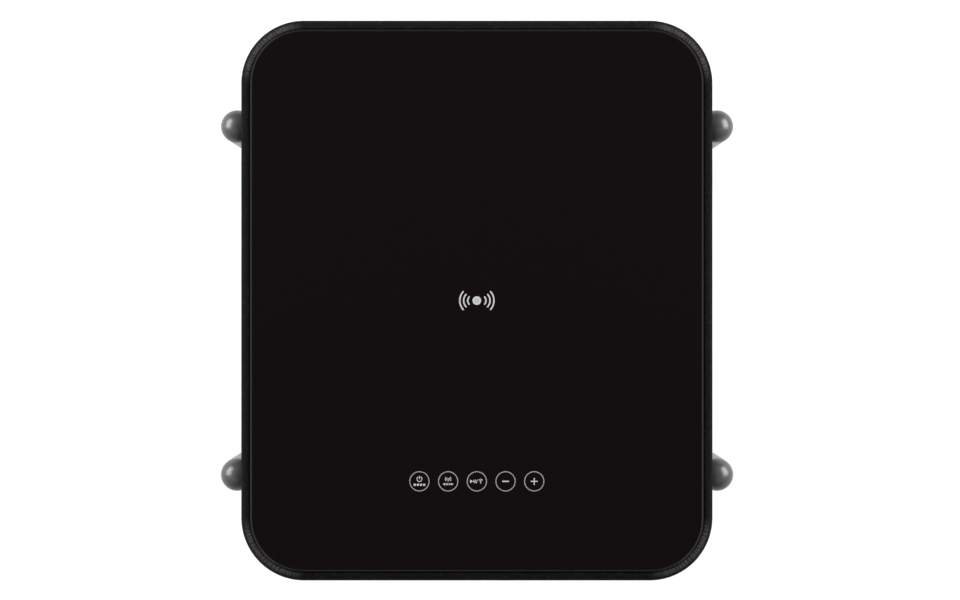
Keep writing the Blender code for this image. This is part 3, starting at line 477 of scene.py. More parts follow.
def arc(x, y, radius, start, end, steps):
    angles = np.radians(np.linspace(start, end, steps + 1))
    return [(x + radius * math.cos(a), y + radius * math.sin(a)) for a in angles]


def fillet(points, radius, steps=3, closed=True):
    """The outline with each corner rounded by an arc, or by less where an edge is short."""
    count = len(points)
    nearly_straight = math.radians(172)
    share = 0.45
    out = []
    for i, point in enumerate(points):
        if not closed and i in (0, count - 1):
            out.append(tuple(point))
            continue
        here = Vector(point)
        before, after = Vector(points[i - 1]) - here, Vector(points[(i + 1) % count]) - here
        turn = before.angle(after, math.pi)
        if turn > nearly_straight:
            out.append(tuple(point))
            continue
        reach = min(radius / math.tan(turn / 2), before.length * share, after.length * share)
        start, end = here + before.normalized() * reach, here + after.normalized() * reach
        for step in range(steps + 1):
            t = step / steps
            out.append(tuple(start * (1 - t) ** 2 + here * 2 * t * (1 - t) + end * t * t))
    return out


def clockwise(profile):
    area = sum(a[0] * b[1] - b[0] * a[1] for a, b in zip(profile, profile[1:] + profile[:1]))
    return profile[::-1] if area > 0 else profile


def turned(profile, angles):
    """The profile's (radius, height) points at each angle, as rows."""
    r = np.array([p[0] for p in profile])[:, None]
    z = np.array([p[1] for p in profile])[:, None]
    return np.stack([r * np.cos(angles), r * np.sin(angles), z + 0 * angles], axis=2)


def quads(rows, columns, rows_close=True, columns_close=True):
    """The faces between rows of points."""
    faces = []
    for i in range(rows if rows_close else rows - 1):
        here, there = i * columns, (i + 1) % rows * columns
        for j in range(columns if columns_close else columns - 1):
            k = (j + 1) % columns
            faces.append((here + k, here + j, there + j, there + k))
    return faces


def lathe(name, profile, steps, matrix):
    """A turned piece from (radius, height) points. Points on the axis close it; others make a ring."""
    profile = clockwise(list(profile))
    on_axis = [i for i, point in enumerate(profile) if point[0] < 1e-9]
    if on_axis:
        turn = next(i for i in on_axis if (i - 1) % len(profile) in on_axis)
        profile = profile[turn:] + profile[:turn]
    body = profile[1:-1] if on_axis else profile
    flat = [tuple(p) for p in turned(body, math.tau * np.arange(steps) / steps).reshape(-1, 3)]
    faces = quads(len(body), steps, rows_close=not on_axis)
    if on_axis:
        top, bottom = len(flat), len(flat) + 1
        flat += [(0, 0, profile[0][1]), (0, 0, profile[-1][1])]
        low = (len(body) - 1) * steps
        for j in range(steps):
            k = (j + 1) % steps
            faces.append((top, j, k))
            faces.append((bottom, low + k, low + j))
    return mesh_object(name, flat, faces, matrix)


def beside(points, width):
    """The two lines that run half the width to the left and right of an open line."""
    line = [Vector(point) for point in points]
    left, right = [], []
    for i, here in enumerate(line):
        into = here - line[i - 1] if i else line[1] - here
        out = line[i + 1] - here if i < len(line) - 1 else into
        along = (into.normalized() + out.normalized()).normalized()
        side = Vector((-along.y, along.x)) * width / 2
        left.append(tuple(here + side))
        right.append(tuple(here - side))
    return left, right


def strip(points, thickness):
    """A closed strip of even thickness around an open line of (radius, height) points."""
    near, far = beside(points, thickness)
    if points[0][0] == 0:
        near[0], far[0] = (0, near[0][1]), (0, far[0][1])
    return near + far[::-1]


def rounded_outline(width, depth, radius, corner_steps, straight=(0.5,)):
    """Points round a rounded rectangle, their outward directions, and the distance along it."""
    points, normals = [], []
    half_w, half_d = width / 2 - radius, depth / 2 - radius
    quarters = ((1, 1), (-1, 1), (-1, -1), (1, -1))
    for quarter, (sx, sy) in enumerate(quarters):
        centre = np.array((sx * half_w, sy * half_d))
        for step in range(corner_steps + 1):
            angle = math.radians(90 * quarter + 90 * step / corner_steps)
            normal = np.array((math.cos(angle), math.sin(angle)))
            points.append(centre + radius * normal)
            normals.append(normal)
        nx, ny = quarters[(quarter + 1) % 4]
        end = np.array((nx * half_w, ny * half_d)) + radius * normals[-1]
        start = points[-1]
        for share in straight:
            points.append(start + (end - start) * share)
            normals.append(normals[-1])
    points, normals = np.array(points), np.array(normals)
    steps = np.linalg.norm(np.diff(np.vstack([points, points[:1]]), axis=0), axis=1)
    return points, normals, np.concatenate([[0], np.cumsum(steps)])


def band(name, profile, width, depth, radius, corner_steps, solid=False):
    """A rounded-rectangular ring, or a solid plate, from (inset from the outline, height) points."""
    points, normals, _ = rounded_outline(width, depth, radius, corner_steps)
    rows = []
    for inset, z in profile:
        flat = points - normals * inset
        rows.append(np.column_stack([flat, np.full(len(flat), z)]))
    return grid(name, np.array(rows), close_rows=not solid, caps=solid)


def circle(radius, x=0.0, y=0.0, steps=48):
    return arc(x, y, radius, 0, 360, steps)[:-1]


def box_outline(width, height, radius, x=0.0, y=0.0, steps=6):
    points, _, _ = rounded_outline(width, height, radius, steps, straight=())
    return [(px + x, py + y) for px, py in points]


def plate(name, loops, low, high, bevel=0.0, segments=2, matrix=None):
    """A flat outline with its holes, as thick as low to high, with rounded edges."""
    curve = bpy.data.curves.new(name, "CURVE")
    curve.dimensions = "2D"
    curve.fill_mode = "BOTH"
    curve.extrude = (high - low) / 2
    for loop in loops:
        spline = curve.splines.new("POLY")
        spline.points.add(len(loop) - 1)
        for point, (x, y) in zip(spline.points, loop):
            point.co = (x, y, 0, 1)
        spline.use_cyclic_u = True
    guide = placed(name + "_guide", curve)
    mesh = evaluated(guide)
    bpy.data.objects.remove(guide, do_unlink=True)
    shape = bmesh.new()
    shape.from_mesh(mesh)
    bmesh.ops.remove_doubles(shape, verts=shape.verts, dist=1e-7)
    bmesh.ops.dissolve_limit(
        shape, angle_limit=math.radians(0.5), verts=shape.verts, edges=shape.edges, delimit={"NORMAL"}
    )
    bmesh.ops.recalc_face_normals(shape, faces=shape.faces)
    bmesh.ops.translate(shape, verts=shape.verts, vec=(0, 0, (low + high) / 2))
    if bevel:
        sharp = [e for e in shape.edges if e.is_manifold and e.calc_face_angle(0) > math.radians(60)]
        rounding = {"offset": bevel, "segments": segments, "profile": 0.5, "affect": "EDGES"}
        bmesh.ops.bevel(shape, geom=sharp, clamp_overlap=True, **rounding)
    shape.to_mesh(mesh)
    shape.free()
    mesh.name = name
    mesh.materials.clear()
    return placed(name, mesh, matrix)


def evaluated(obj):
    """A mesh of the object with its curves and modifiers worked out."""
    bpy.context.view_layer.update()
    return bpy.data.meshes.new_from_object(obj.evaluated_get(bpy.context.evaluated_depsgraph_get()))


def weighted(obj):
    """Keeps large flat faces flat next to their rounded edges."""
    obj.modifiers.new("weighted", "WEIGHTED_NORMAL").keep_sharp = True


def carve(obj, *cutters):
    for cutter in cutters:
        modifier = obj.modifiers.new("carve", "BOOLEAN")
        modifier.object = cutter
        modifier.solver = "EXACT"
    mesh = evaluated(obj)
    obj.modifiers.clear()
    obj.data = mesh
    for cutter in cutters:
        bpy.data.objects.remove(cutter, do_unlink=True)


def face_outwards(obj):
    shape = bmesh.new()
    shape.from_mesh(obj.data)
    bmesh.ops.recalc_face_normals(shape, faces=shape.faces)
    shape.to_mesh(obj.data)
    shape.free()


# ---- glass top and its print


def make_glass():
    """Black glass with a polished chamfer and a soft arris between the chamfer and the flat."""
    low, high = GLASS_LOW.z, GLASS_HIGH.z
    chamfer = 1.25 * MM
    arris = 1.3 * MM
    under = ((1.0, 0), (0.3, 0.1), (0.05, 0.35), (0, 0.7))
    over = ((0, 1.75), (0.12, 1.5), (0.62, 0.70))
    profile = [(inset * MM, low + up * MM) for inset, up in under]
    profile += [(inset * MM, high - down * MM) for inset, down in over]
    profile += [(chamfer, high - 0.14 * MM)]
    for step in range(1, 7):
        share = step / 6
        profile.append((chamfer + arris * share, high - 0.12 * MM * (1 - share) ** 2))
    size = (GLASS_HIGH.x - GLASS_LOW.x, GLASS_HIGH.y - GLASS_LOW.y)
    glass = band("glass_plate", profile, *size, CORNER_RADIUS - GLASS_INSET, 40, solid=True)
    finish(glass, "glass", "glass_top", angle=15)
    weighted(glass)


def stroke(points, width, steps=6):
    """A closed outline with round ends around an open line."""
    left, right = beside(points, width)
    outline = right
    for tip, inner, rest in ((points[-1], points[-2], left[::-1]), (points[0], points[1], [])):
        facing = math.degrees(math.atan2(tip[1] - inner[1], tip[0] - inner[0]))
        outline += arc(*tip, width / 2, facing - 90, facing + 90, steps)[1:-1] + rest
    return outline


def moved(loops, x, y):
    return [[(px + x, py + y) for px, py in loop] for loop in loops]


def print_on_glass(name, loops, ink):
    film = 0.02 * MM
    lift = 0.005 * MM
    mark = plate(name, loops, TOP + lift, TOP + lift + film)
    finish(mark, ink, slot="glass")


def charging_mark():
    """A dot in a ring with three waves to each side: each wave's reach, radius and half height."""
    loops = [circle(3.0 * MM, steps=64), circle(1.55 * MM, steps=48)]
    line = 1.02 * MM
    for reach, radius, half in ((6.35, 3.9, 2.5), (9.2, 6.3, 4.25), (11.9, 9.4, 6.2)):
        spread = math.degrees(math.asin(half / radius))
        for sign, facing in ((1, 0), (-1, 180)):
            centre = sign * (reach - radius) * MM
            loops.append(stroke(arc(centre, 0, radius * MM, facing - spread, facing + spread, 20), line))
    print_on_glass("charging_mark", loops, MARK_INK)
    print_on_glass("charging_dot", [circle(1.5 * MM, steps=48)], DOT_INK)


def ring(outer, inner, x=0.0, y=0.0, steps=72):
    return [circle(outer, x, y, steps), circle(inner, x, y, steps)]


def power_sign(x, y, radius, width):
    gap = 32
    open_ring = stroke(arc(x, y, radius, 90 + gap, 450 - gap, 28), width)
    return [open_ring, stroke([(x, y + 0.2 * MM), (x, y + radius * 1.15)], width)]


def triangle(x, y, size, facing=1):
    back, tip = x - facing * size / 2, x + facing * size / 2
    return [(back, y - size * 0.55), (tip, y), (back, y + size * 0.55)]


def waves(x, y, radii, facing, spread):
    """Thin arcs round one point."""
    arcs = [arc(x, y, radius * MM, facing - spread, facing + spread, 10) for radius in radii]
    return [stroke(points, 0.42 * MM) for points in arcs]


def upright(x, low, high, width):
    return stroke([(x * MM, low * MM), (x * MM, high * MM)], width)


def key_signs():
    """Power over four blocks for the inputs, a mast over seek arrows, play and link, minus, plus."""
    thin = 0.5 * MM
    block, block_y = 1.5 * MM, -2.4 * MM
    source = power_sign(0, 1.55 * MM, 1.75 * MM, thin)
    source += [box_outline(block, block, 0.3 * MM, x * MM, block_y, 3) for x in (-3.3, -1.1, 1.1, 3.3)]
    tuner = [upright(0, 0.1, 1.9, thin)]
    for facing in (0, 180):
        tuner += waves(0, 1.7 * MM, (1.05, 2.0), facing, 40)
    for side in (-1, 1):
        tuner += [triangle(side * middle * MM, -1.95 * MM, 1.6 * MM, side) for middle in (1.25, 2.95)]
    play = [triangle(-3.6 * MM, 0, 2.2 * MM)]
    play += [upright(x, -0.9, 0.9, thin) for x in (-2.0, -1.15)]
    play += [stroke([(-0.35 * MM, -1.25 * MM), (0.4 * MM, 1.25 * MM)], 0.4 * MM)]
    play += [upright(2.7, -1.4, -0.1, thin)]
    play += waves(2.7 * MM, -0.2 * MM, (0.8, 1.7), 90, 50)
    bar = 2.4 * MM
    minus = [box_outline(2 * bar, 0.86 * MM, 0.15 * MM)]
    plus = [cross_outline(bar, 0.36 * MM)]
    return [source, tuner, play, minus, plus]


def cross_outline(arm, half):
    """The twelve corners of an upright cross."""
    outline = []
    for quarter in range(4):
        angle = math.radians(90 * quarter)
        for x, y in ((arm, -half), (arm, half), (half, half)):
            turned_x = x * math.cos(angle) - y * math.sin(angle)
            outline.append((turned_x, x * math.sin(angle) + y * math.cos(angle)))
    return outline


def touch_keys():
    pitch = 20 * MM
    for number, sign in enumerate(key_signs()):
        x = (number - 2) * pitch
        print_on_glass(f"key_ring_{number + 1}", ring(7.0 * MM, 6.42 * MM, x, KEY_ROW_Y), KEY_INK)
        print_on_glass(f"key_sign_{number + 1}", moved(sign, x, KEY_ROW_Y), MARK_INK)


# ---- cloth


def pleat(distance, seed):
    """How far a pleat stands at a distance round a corner, from -0.5 to 0.5."""
    pitch = 2.7 * MM
    uneven = 0.5 * MM * math.sin(distance / (5.3 * MM) + seed)
    uneven += 0.3 * MM * math.sin(distance / (2.1 * MM) + 2 * seed)
    phase = (distance + uneven) / pitch
    height = math.sin(distance / (3.7 * MM) + 3 * seed) * math.sin(distance / (1.3 * MM) + seed)
    height = 0.65 + 0.35 * height
    return height * (0.5 - abs(math.sin(math.pi * phase)) ** 0.7)


def along_profile(profile):
    """The distance along a closed outline at each of its points."""
    steps = np.linalg.norm(np.diff(np.array(profile + profile[:1]), axis=0), axis=1)
    return np.concatenate([[0], np.cumsum(steps)])


def cloth_section(low, high, rim):
    """The wrap's outer and inner faces as (inset, height) points, from its lip beside the glass down."""
    lip = [(6.26, -2.6), (6.3, -1.3), (6.22, -0.5), (5.95, -0.1)]
    outer = [(u * MM, high + z * MM) for u, z in lip]
    for angle in np.radians(np.linspace(0, 90, 13)):
        outer.append((rim - rim * math.sin(angle), high - rim + rim * math.cos(angle)))
    side = high - rim - low
    outer += [(0, high - rim - side * share) for share in (0.02, 0.06, 0.2, 0.4, 0.6, 0.8, 0.94, 0.985)]
    outer += [(0.05 * MM, low + 0.35 * MM), (0.3 * MM, low + 0.05 * MM)]
    thick = CLOTH_THICKNESS * 0.9
    inner = [(thick, low + 0.05 * MM), (thick, low + side * 0.5), (thick, high - rim)]
    reach = rim - thick
    for angle in np.radians((18, 36, 54, 72)):
        inner.append((thick + reach * (1 - math.cos(angle)), high - rim + reach * math.sin(angle)))
    return outer, inner + [(rim, high - thick), (5.3 * MM, high - 1.5 * MM), (5.3 * MM, high - 2.6 * MM)]


def cut_cloth(cloth):
    """Opens the wrap for the rear panel and for the four leg bolts."""
    width, height = PANEL_HIGH.x - PANEL_LOW.x, PANEL_HIGH.z - PANEL_LOW.z
    slack = 1.2 * MM
    window = [box_outline(width + slack, height + slack, 5.6 * MM)]
    cutters = [plate("cloth_window", window, -6 * MM, 6 * MM, matrix=on_panel())]
    low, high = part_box("front_left_leg_bolt")
    middle = (low + high) / 2
    hole = circle(3.4 * MM, 0, 0, 24)
    for sy in (-1, 1):
        along_x = Matrix.Translation((0, sy * abs(middle.y), middle.z)) @ Matrix.Rotation(math.pi / 2, 4, "Y")
        cutters.append(plate("bolt_hole", [hole], -BODY_WIDTH, BODY_WIDTH, matrix=along_x))
    carve(cloth, *cutters)
    for layer in [layer for layer in cloth.data.uv_layers if layer.name != "cloth"]:
        cloth.data.uv_layers.remove(layer)


def make_cloth():
    """The wrap: straight sides, a rounded rim tucked beside the glass, and pleats round the corners, with a
    painted highlight on their crests.
    """
    steps = 288
    straight = np.concatenate([[0.004, 0.012], np.linspace(0.04, 0.96, 24), [0.988, 0.996]])
    points, normals, along = rounded_outline(BODY_WIDTH, BODY_DEPTH, CORNER_RADIUS, steps, straight)
    turning = np.array([abs(n[0] * n[1]) > 1e-6 for n in normals])
    quarter = steps + 1 + len(straight)
    high = CLOTH_HIGH.z
    rim = 5.5 * MM
    outer, inner = cloth_section(CLOTH_LOW.z, high, rim)
    profile = outer + inner
    rows, crest_highlights = [], []
    for i, (inset, z) in enumerate(profile):
        before, after = np.array(profile[i - 1]), np.array(profile[(i + 1) % len(profile)])
        tangent = (after - before) / max(np.linalg.norm(after - before), 1e-9)
        outward = np.array((-tangent[1], tangent[0])) * (1 if i < len(outer) else -1)
        gather = 0.0
        if i < len(outer) and z > high - rim:
            gather = min(max((inset - 1.5 * MM) / (2.0 * MM), 0), 1)
            gather *= min(max((z - high + 3 * MM) / (1.5 * MM), 0), 1)
        row = []
        for column, (point, normal) in enumerate(zip(points, normals)):
            push = crest_highlight = 0.0
            if gather > 0 and turning[column]:
                turn = (column % quarter) / steps
                ease = min(1, 5.5 * turn, 5.5 * (1 - turn))
                stand = pleat(along[column], 1.7 * (column // quarter))
                push = 0.62 * MM * gather * ease * stand
                # painted highlight: how light the cloth is painted here, from the corner's gather and how far
                # the pleat stands
                crest_highlight = gather * ease * (0.25 + 0.75 * max(stand + 0.4, 0))
            crest_highlights.append(crest_highlight)
            x, y = point - normal * (inset + outward[0] * push)
            row.append((x, y, z + outward[1] * push))
        rows.append(row)
    cloth = grid("wrap_cloth", np.array(rows), close_rows=True, uv=(along, along_profile(profile)))
    # the painted highlight goes to the cloth's material as a point attribute
    crest_highlight = cloth.data.attributes.new("crest_highlight", "FLOAT", "POINT")
    crest_highlight.data.foreach_set("value", np.array(crest_highlights, np.float32))
    cut_cloth(cloth)
    finish(cloth, "cloth", "grille_cloth", angle=60)


# ---- base, legs and feet


def make_trim():
    low, high = TRIM_LOW.z, TRIM_HIGH.z
    section = [(0, low), (0, high), (8 * MM, high), (8 * MM, low)]
    trim = band("clamp_ring", fillet(section, 1.3 * MM, 4), BODY_WIDTH, BODY_DEPTH, CORNER_RADIUS, 32)
    face_outwards(trim)
    finish(trim, "black_plastic", "bottom_trim")


def make_leg(corner):
    """A round post with a domed top, a softly worn foot edge, and the glide under it."""
    low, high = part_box(corner + "_leg")
    centre = (low + high) / 2
    radius = (high.x - low.x) / 2
    edge = 2 * MM
    upright_here = Matrix.Translation((centre.x, centre.y, 0))
    dome = arc(0, high.z - radius, radius, 90, 0, 24)
    dome[0] = (0, high.z)
    shaft = [(radius, low.z + (high.z - radius - low.z) * share) for share in (0.75, 0.5, 0.25)]
    foot = arc(radius - edge, low.z + edge, edge, 0, -90, 6)
    post = lathe(corner + "_post", dome + shaft + foot + [(0, low.z)], 96, upright_here)
    finish(post, "lacquered_wood", corner + "_leg", angle=50)
    low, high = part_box(corner + "_foot_glide")
    radius = (high.x - low.x) / 2
    rounded = fillet([(0, high.z), (radius, high.z), (radius, 0), (0, 0)], 0.5 * MM, 3, closed=False)
    pad = lathe(corner + "_soft_glide", rounded, 48, upright_here)
    finish(pad, "rubber", corner + "_foot_glide")


def make_saddle(corner):
    """The moulded block between a post and the side wall, hollowed to the post's own round."""
    low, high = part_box(corner + "_leg_saddle")
    side = 1 if low.x > 0 else -1
    leg_low, leg_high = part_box(corner + "_leg")
    centre = (leg_low + leg_high) / 2
    seat = (leg_high.x - leg_low.x) / 2 + 0.3 * MM
    wall = min(abs(low.x), abs(high.x))
    half = (high.y - low.y) / 2
    touch = math.degrees(math.asin((half - 0.6 * MM) / seat))
    outline = [(wall, -half), (wall + 3 * MM, -half)]
    outline += arc(abs(centre.x), 0, seat, 180 + touch, 180 - touch, 14)
    outline += [(wall + 3 * MM, half), (wall, half)]
    outline = [(side * x, y + centre.y) for x, y in fillet(outline, 0.7 * MM, 3)]
    block = plate(corner + "_moulded_saddle", [outline], low.z, high.z, 0.5 * MM, 2)
    finish(block, "black_plastic", corner + "_leg_saddle")


def facing(point, direction):
    """A placing whose own Z points along direction."""
    return Matrix.Translation(point) @ direction.to_track_quat("Z", "Y").to_matrix().to_4x4()


def black_screw(name, point, direction, radius):
    """A pan head with a cross recess, standing on the surface at point."""
    height = radius * 0.75
    arm, half = radius * 0.62, radius * 0.14
    corner = math.degrees(math.atan2(half, arm))
    eighth = np.radians((0, corner, 21, 32, 45))
    reach = [arm / math.cos(a) if a <= eighth[1] else half / math.sin(a) for a in eighth]
    quarter = np.concatenate([eighth, math.pi / 2 - eighth[3:0:-1]])
    reach = np.array(reach + reach[3:0:-1])
    angles = np.concatenate([quarter + math.pi / 2 * turn for turn in range(4)])
    cross = np.tile(reach, 4)
    rows = [(np.full(len(angles), radius), 0.0)]
    rows += [(np.full(len(angles), radius * math.sin(a)), None) for a in np.radians((84, 66, 45))]
    rows += [(cross, None), (cross * 0.9, height * 0.4)]
    points = []
    for reach, z in rows:
        dome = height * (0.35 + 0.65 * np.sqrt(1 - np.minimum(reach / radius, 1) ** 2))
        z = dome if z is None else 0 * dome + z
        points.append(np.column_stack([reach * np.cos(angles), reach * np.sin(angles), z]))
    gap = direction * 0.05 * MM
    head = grid(name, np.array(points), caps=True, matrix=facing(point + gap, direction))
    face_outwards(head)
    finish(head, BLACK_SCREW, slot="steel")


# ---- loudspeakers

WOOFER = Matrix.Translation((0, 0, WOOFER_Z)) @ Matrix.Rotation(math.pi, 4, "X")


def sectors(name, section, count, matrix, look, node):
    """A flexing ring in equal sectors, each its own piece, attached to no body."""
    per = 8
    profile = clockwise(list(section))
    for number in range(count):
        middle_angle = math.tau * (number + 0.5) / count
        angles = np.linspace(-0.5, 0.5, per + 1) * math.tau / count + middle_angle
        points = turned(profile, angles)
        rows, columns = points.shape[:2]
        faces = quads(rows, columns, columns_close=False)
        faces.append(tuple(i * columns for i in range(rows)))
        faces.append(tuple(i * columns + columns - 1 for i in range(rows))[::-1])
        piece = mesh_object(f"{name}_{number + 1:02d}", points.reshape(-1, 3), faces, matrix)
        face_outwards(piece)
        finish(piece, look, node, None, angle=40)
        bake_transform(piece)


def roll(centre, radius, height, lip, steps):
    """A half-round surround's middle line, with a flat lip on each side."""
    flat = 0.3 * MM
    line = [(centre + radius + lip, height), (centre + radius + flat, height)]
    line += arc(centre, height, radius, 0, 180, steps)
    return line + [(centre - radius - flat, height), (centre - radius - lip, height)]


def make_woofer():
    """The ribbed cone and its dome, the rubber roll and the corrugated spider that carry it, the gasket."""
    roll_wall, cone_wall = 0.8 * MM, 0.8 * MM
    surround = strip(roll(64.5 * MM, radius=6.5 * MM, height=2.9 * MM, lip=3.0 * MM, steps=20), roll_wall)
    sectors("roll_surround", surround, 16, WOOFER, "rubber", "woofer_surround")
    level, depth, waves_across = -27.5, 1.1, 3
    spider = [(17.3, level)]
    for share in np.linspace(0, 1, 37):
        spider.append((18.8 + 22.2 * share, level + depth * math.sin(math.tau * waves_across * share)))
    spider = strip(in_mm([*spider, (44, level)]), 0.5 * MM)
    sectors("centring_spider", spider, 16, WOOFER, "spider_cloth", "spider")
    ribs, rib_count = [], 7
    for share in np.linspace(0, 1, 60):
        fade = min(1, 6 * share, 6 * (1 - share))
        rib = 0.22 * MM * math.sin(math.tau * rib_count * share) * fade
        bow = 1.2 * MM * math.sin(math.pi * share)
        ribs.append(((17.8 + 36.2 * share) * MM, (-21 + 22.75 * share) * MM - bow * 0.5 + rib))
    cone = lathe("pressed_cone", strip(ribs + [(57.8 * MM, 1.75 * MM)], cone_wall), 128, WOOFER)
    finish(cone, "cone", "woofer_cone", "woofer_moving", angle=50)
    dome = [(20 * share, -17.8 + 7.5 * (1 - share**2)) for share in np.linspace(0, 1, 20)]
    cap = lathe("dome_cap", strip(in_mm([*dome, (20.6, -19.25)]), 0.6 * MM), 96, WOOFER)
    finish(cap, "cone", "dust_cap", "woofer_moving")
    seal = in_mm([(83.5, 5.6), (83.5, 3.6), (74.5, 3.6), (74.5, 5.6)])
    gasket = lathe("flange_gasket", fillet(seal, 0.5 * MM, 3), 128, WOOFER)
    finish(gasket, "foam", "woofer_gasket")


def arc_slot(inner, outer, start, end):
    loop = arc(0, 0, outer, start, end, 14) + arc(0, 0, inner, end, start, 14)
    return fillet(loop, 1.6 * MM, 4)


def make_guard():
    """A pressed steel dish with four rings of slots, and its flange screws."""
    face_low, face_high, sheet = 19 * MM, 20.5 * MM, 1.5 * MM
    join = 81 * MM
    screws, seat = 91.8 * MM, 1.8 * MM
    slot_width, bridge_width, last_edge = 13 * MM, 4 * MM, 78.4 * MM
    dish = in_mm([(96, 1.05), (88.4, 1.05)])
    dish += arc(88.2 * MM, 2.55 * MM, 1.5 * MM, 270, 180, 5)
    dish += arc(84.2 * MM, 17.25 * MM, 2.5 * MM, 0, 90, 8)
    dish += [(join - 0.3 * MM, 19.75 * MM)]
    skirt = lathe("guard_dish", fillet(strip(dish, sheet), 0.3 * MM, 2), 160, WOOFER)
    face_outwards(skirt)
    finish(skirt, "black_steel", "woofer_guard")
    loops = [circle(join, steps=160)]
    for row, count in enumerate((4, 6, 8, 12)):
        inner = (14 + 17 * row) * MM
        outer = min(inner + slot_width, last_edge)
        slot = 360 / count
        bridge = math.degrees(bridge_width / inner)
        for number in range(count):
            start = slot * number + bridge / 2
            loops.append(arc_slot(inner, outer, start, start + slot - bridge))
    face = plate("guard_face", loops, face_low, face_high, 0.35 * MM, 2, WOOFER)
    finish(face, "black_steel")
    for number in range(6):
        angle = math.radians(60 * number + 30)
        point = WOOFER @ Vector((screws * math.cos(angle), screws * math.sin(angle), seat))
        black_screw(f"guard_screw_{number + 1}", point, Vector((0, 0, -1)), 3.0 * MM)


SMALL_CONE = [(0, -4.3), (3, -4.5), (6, -5.2), (9, -6.6), (12.5, -9.1), (17, -6.6), (22, -3.4)]
SMALL_CONE += [(26.2, -0.6), (28, -0.6), (28, -1.2), (26, -1.2), (17, -7.3), (12.6, -9.8)]
SMALL_CONE += [(12.6, -25.3), (11.8, -25.3), (11.8, -9.6), (9, -7.4), (6, -6.0), (3, -5.3), (0, -5.1)]


def make_side_driver(side):
    """The cone with its dome and coil former in one, and the rubber roll round it."""
    sign = SIDES[side]
    face = Matrix.Translation((sign * SIDE_FACE_X, 0, SIDE_DRIVER_Z))
    matrix = face @ Matrix.Rotation(sign * math.pi / 2, 4, "Y")
    section = strip(roll(31 * MM, 3 * MM, 0.3 * MM, 2.5 * MM, 14), 0.6 * MM)
    bodies, node = ("cabinet", side + "_cone"), side + "_driver_surround"
    sectors(side + "_roll_surround", section, 12, matrix, "rubber", node)
    piece = lathe(side + "_small_cone", in_mm(SMALL_CONE), 96, matrix)
    finish(piece, "cone", side + "_driver_cone", side + "_cone", angle=50)


def make_port():
    low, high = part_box("port_tube")
    bore, wall, flare, flange = 25 * MM, 2 * MM, 7 * MM, 35 * MM
    edge = 0.4 * MM
    outer = [(bore + wall, high.z), (bore + wall, UNDER_BASE), (flange, UNDER_BASE)]
    outer += [(flange, low.z + edge), (flange - edge, low.z)]
    mouth = arc(bore + flare, low.z + flare, flare, 270, 180, 14)
    place = Matrix.Translation((0, PORT_Y, 0))
    tube = lathe("flared_port", outer + mouth + [(bore, high.z)], 128, place)
    finish(tube, "black_plastic", "port_tube", angle=45)


# ---- rear panel


def on_panel(x=0.0, z=0.0):
    """A placing on the rear panel's face, whose own Z points out of the back and whose Y points up."""
    turn = Matrix(((-1, 0, 0), (0, 0, 1), (0, 1, 0))).to_4x4()
    return Matrix.Translation((x, PANEL_FACE_Y, PANEL_Z + z)) @ turn


ROCKER_X, DC_X, AUX_X, USB_X = -40 * MM, -11 * MM, 13 * MM, 38 * MM
SOCKET_DEPTH, SOCKET_BACK = -9.5 * MM, -16.1 * MM


def make_panel():
    outline = box_outline(PANEL_HIGH.x - PANEL_LOW.x, PANEL_HIGH.z - PANEL_LOW.z, 5 * MM, steps=10)
    holes = [
        box_outline(15.6 * MM, 24.6 * MM, 1 * MM, -ROCKER_X, 0),
        circle(4.4 * MM, -DC_X, 0),
        circle(3.4 * MM, -AUX_X, 0),
        box_outline(10.2 * MM, 4.4 * MM, 2 * MM, -USB_X, 0, 8),
    ]
    panel = plate("socket_panel", [outline, *holes], -3 * MM, 0, 0.3 * MM, 2, on_panel())
    finish(panel, "black_plastic", "rear_panel")
    weighted(panel)
    boss = fillet(in_mm([(0, -2.9), (3, -2.9), (3, -16.1), (0, -16.1)]), 0.3 * MM, 2, False)
    for number, (sx, sy) in enumerate(CORNERS.values()):
        tower = lathe(f"panel_boss_{number + 1}", boss, 32, on_panel(sx * 50 * MM, sy * 25 * MM))
        finish(tower, "black_plastic")
        point = Vector((sx * 55 * MM, PANEL_FACE_Y, PANEL_Z + sy * 30 * MM))
        black_screw(f"panel_screw_{number + 1}", point, Vector((0, 1, 0)), 2.6 * MM)
    marks = {
        "dc_mark": (DC_X, [*ring(2.2 * MM, 1.85 * MM), circle(0.55 * MM, steps=24)]),
        "aux_mark": (AUX_X, wave_mark()),
        "usb_mark": (USB_X, plug_mark()),
    }
    for name, (x, loops) in marks.items():
        mark = plate(name, loops, 0.005 * MM, 0.03 * MM, matrix=on_panel(x, 13 * MM))
        finish(mark, KEY_INK, slot="black_plastic")


def wave_mark():
    heights = (0.9, 1.9, 1.2, 2.2, 0.9)
    return [upright((i - 2) * 0.9, -height, height, 0.4 * MM) for i, height in enumerate(heights)]


def plug_mark():
    head = in_mm([(-0.8, 1.7), (0.8, 1.7), (0, 2.9)])
    return [upright(0, -2.2, 1.4, 0.4 * MM), head, circle(0.7 * MM, 0, -2.9 * MM, 24)]


def round_socket(name, node, x, bore, rim, neck, body):
    """A round socket in the panel, from the radii of its bore, rim, neck and body."""
    proud, face, behind = 1.2 * MM, 0.3 * MM, -3.3 * MM
    line = [(bore, SOCKET_DEPTH), (bore, proud), (rim, proud), (rim, face), (neck, face), (neck, behind)]
    line += [(body, behind), (body, SOCKET_BACK)]
    line = [(0, SOCKET_DEPTH)] + fillet(line, 0.3 * MM, 3, False) + [(0, SOCKET_BACK)]
    finish(lathe(name, line, 64, on_panel(x)), "black_plastic", node)


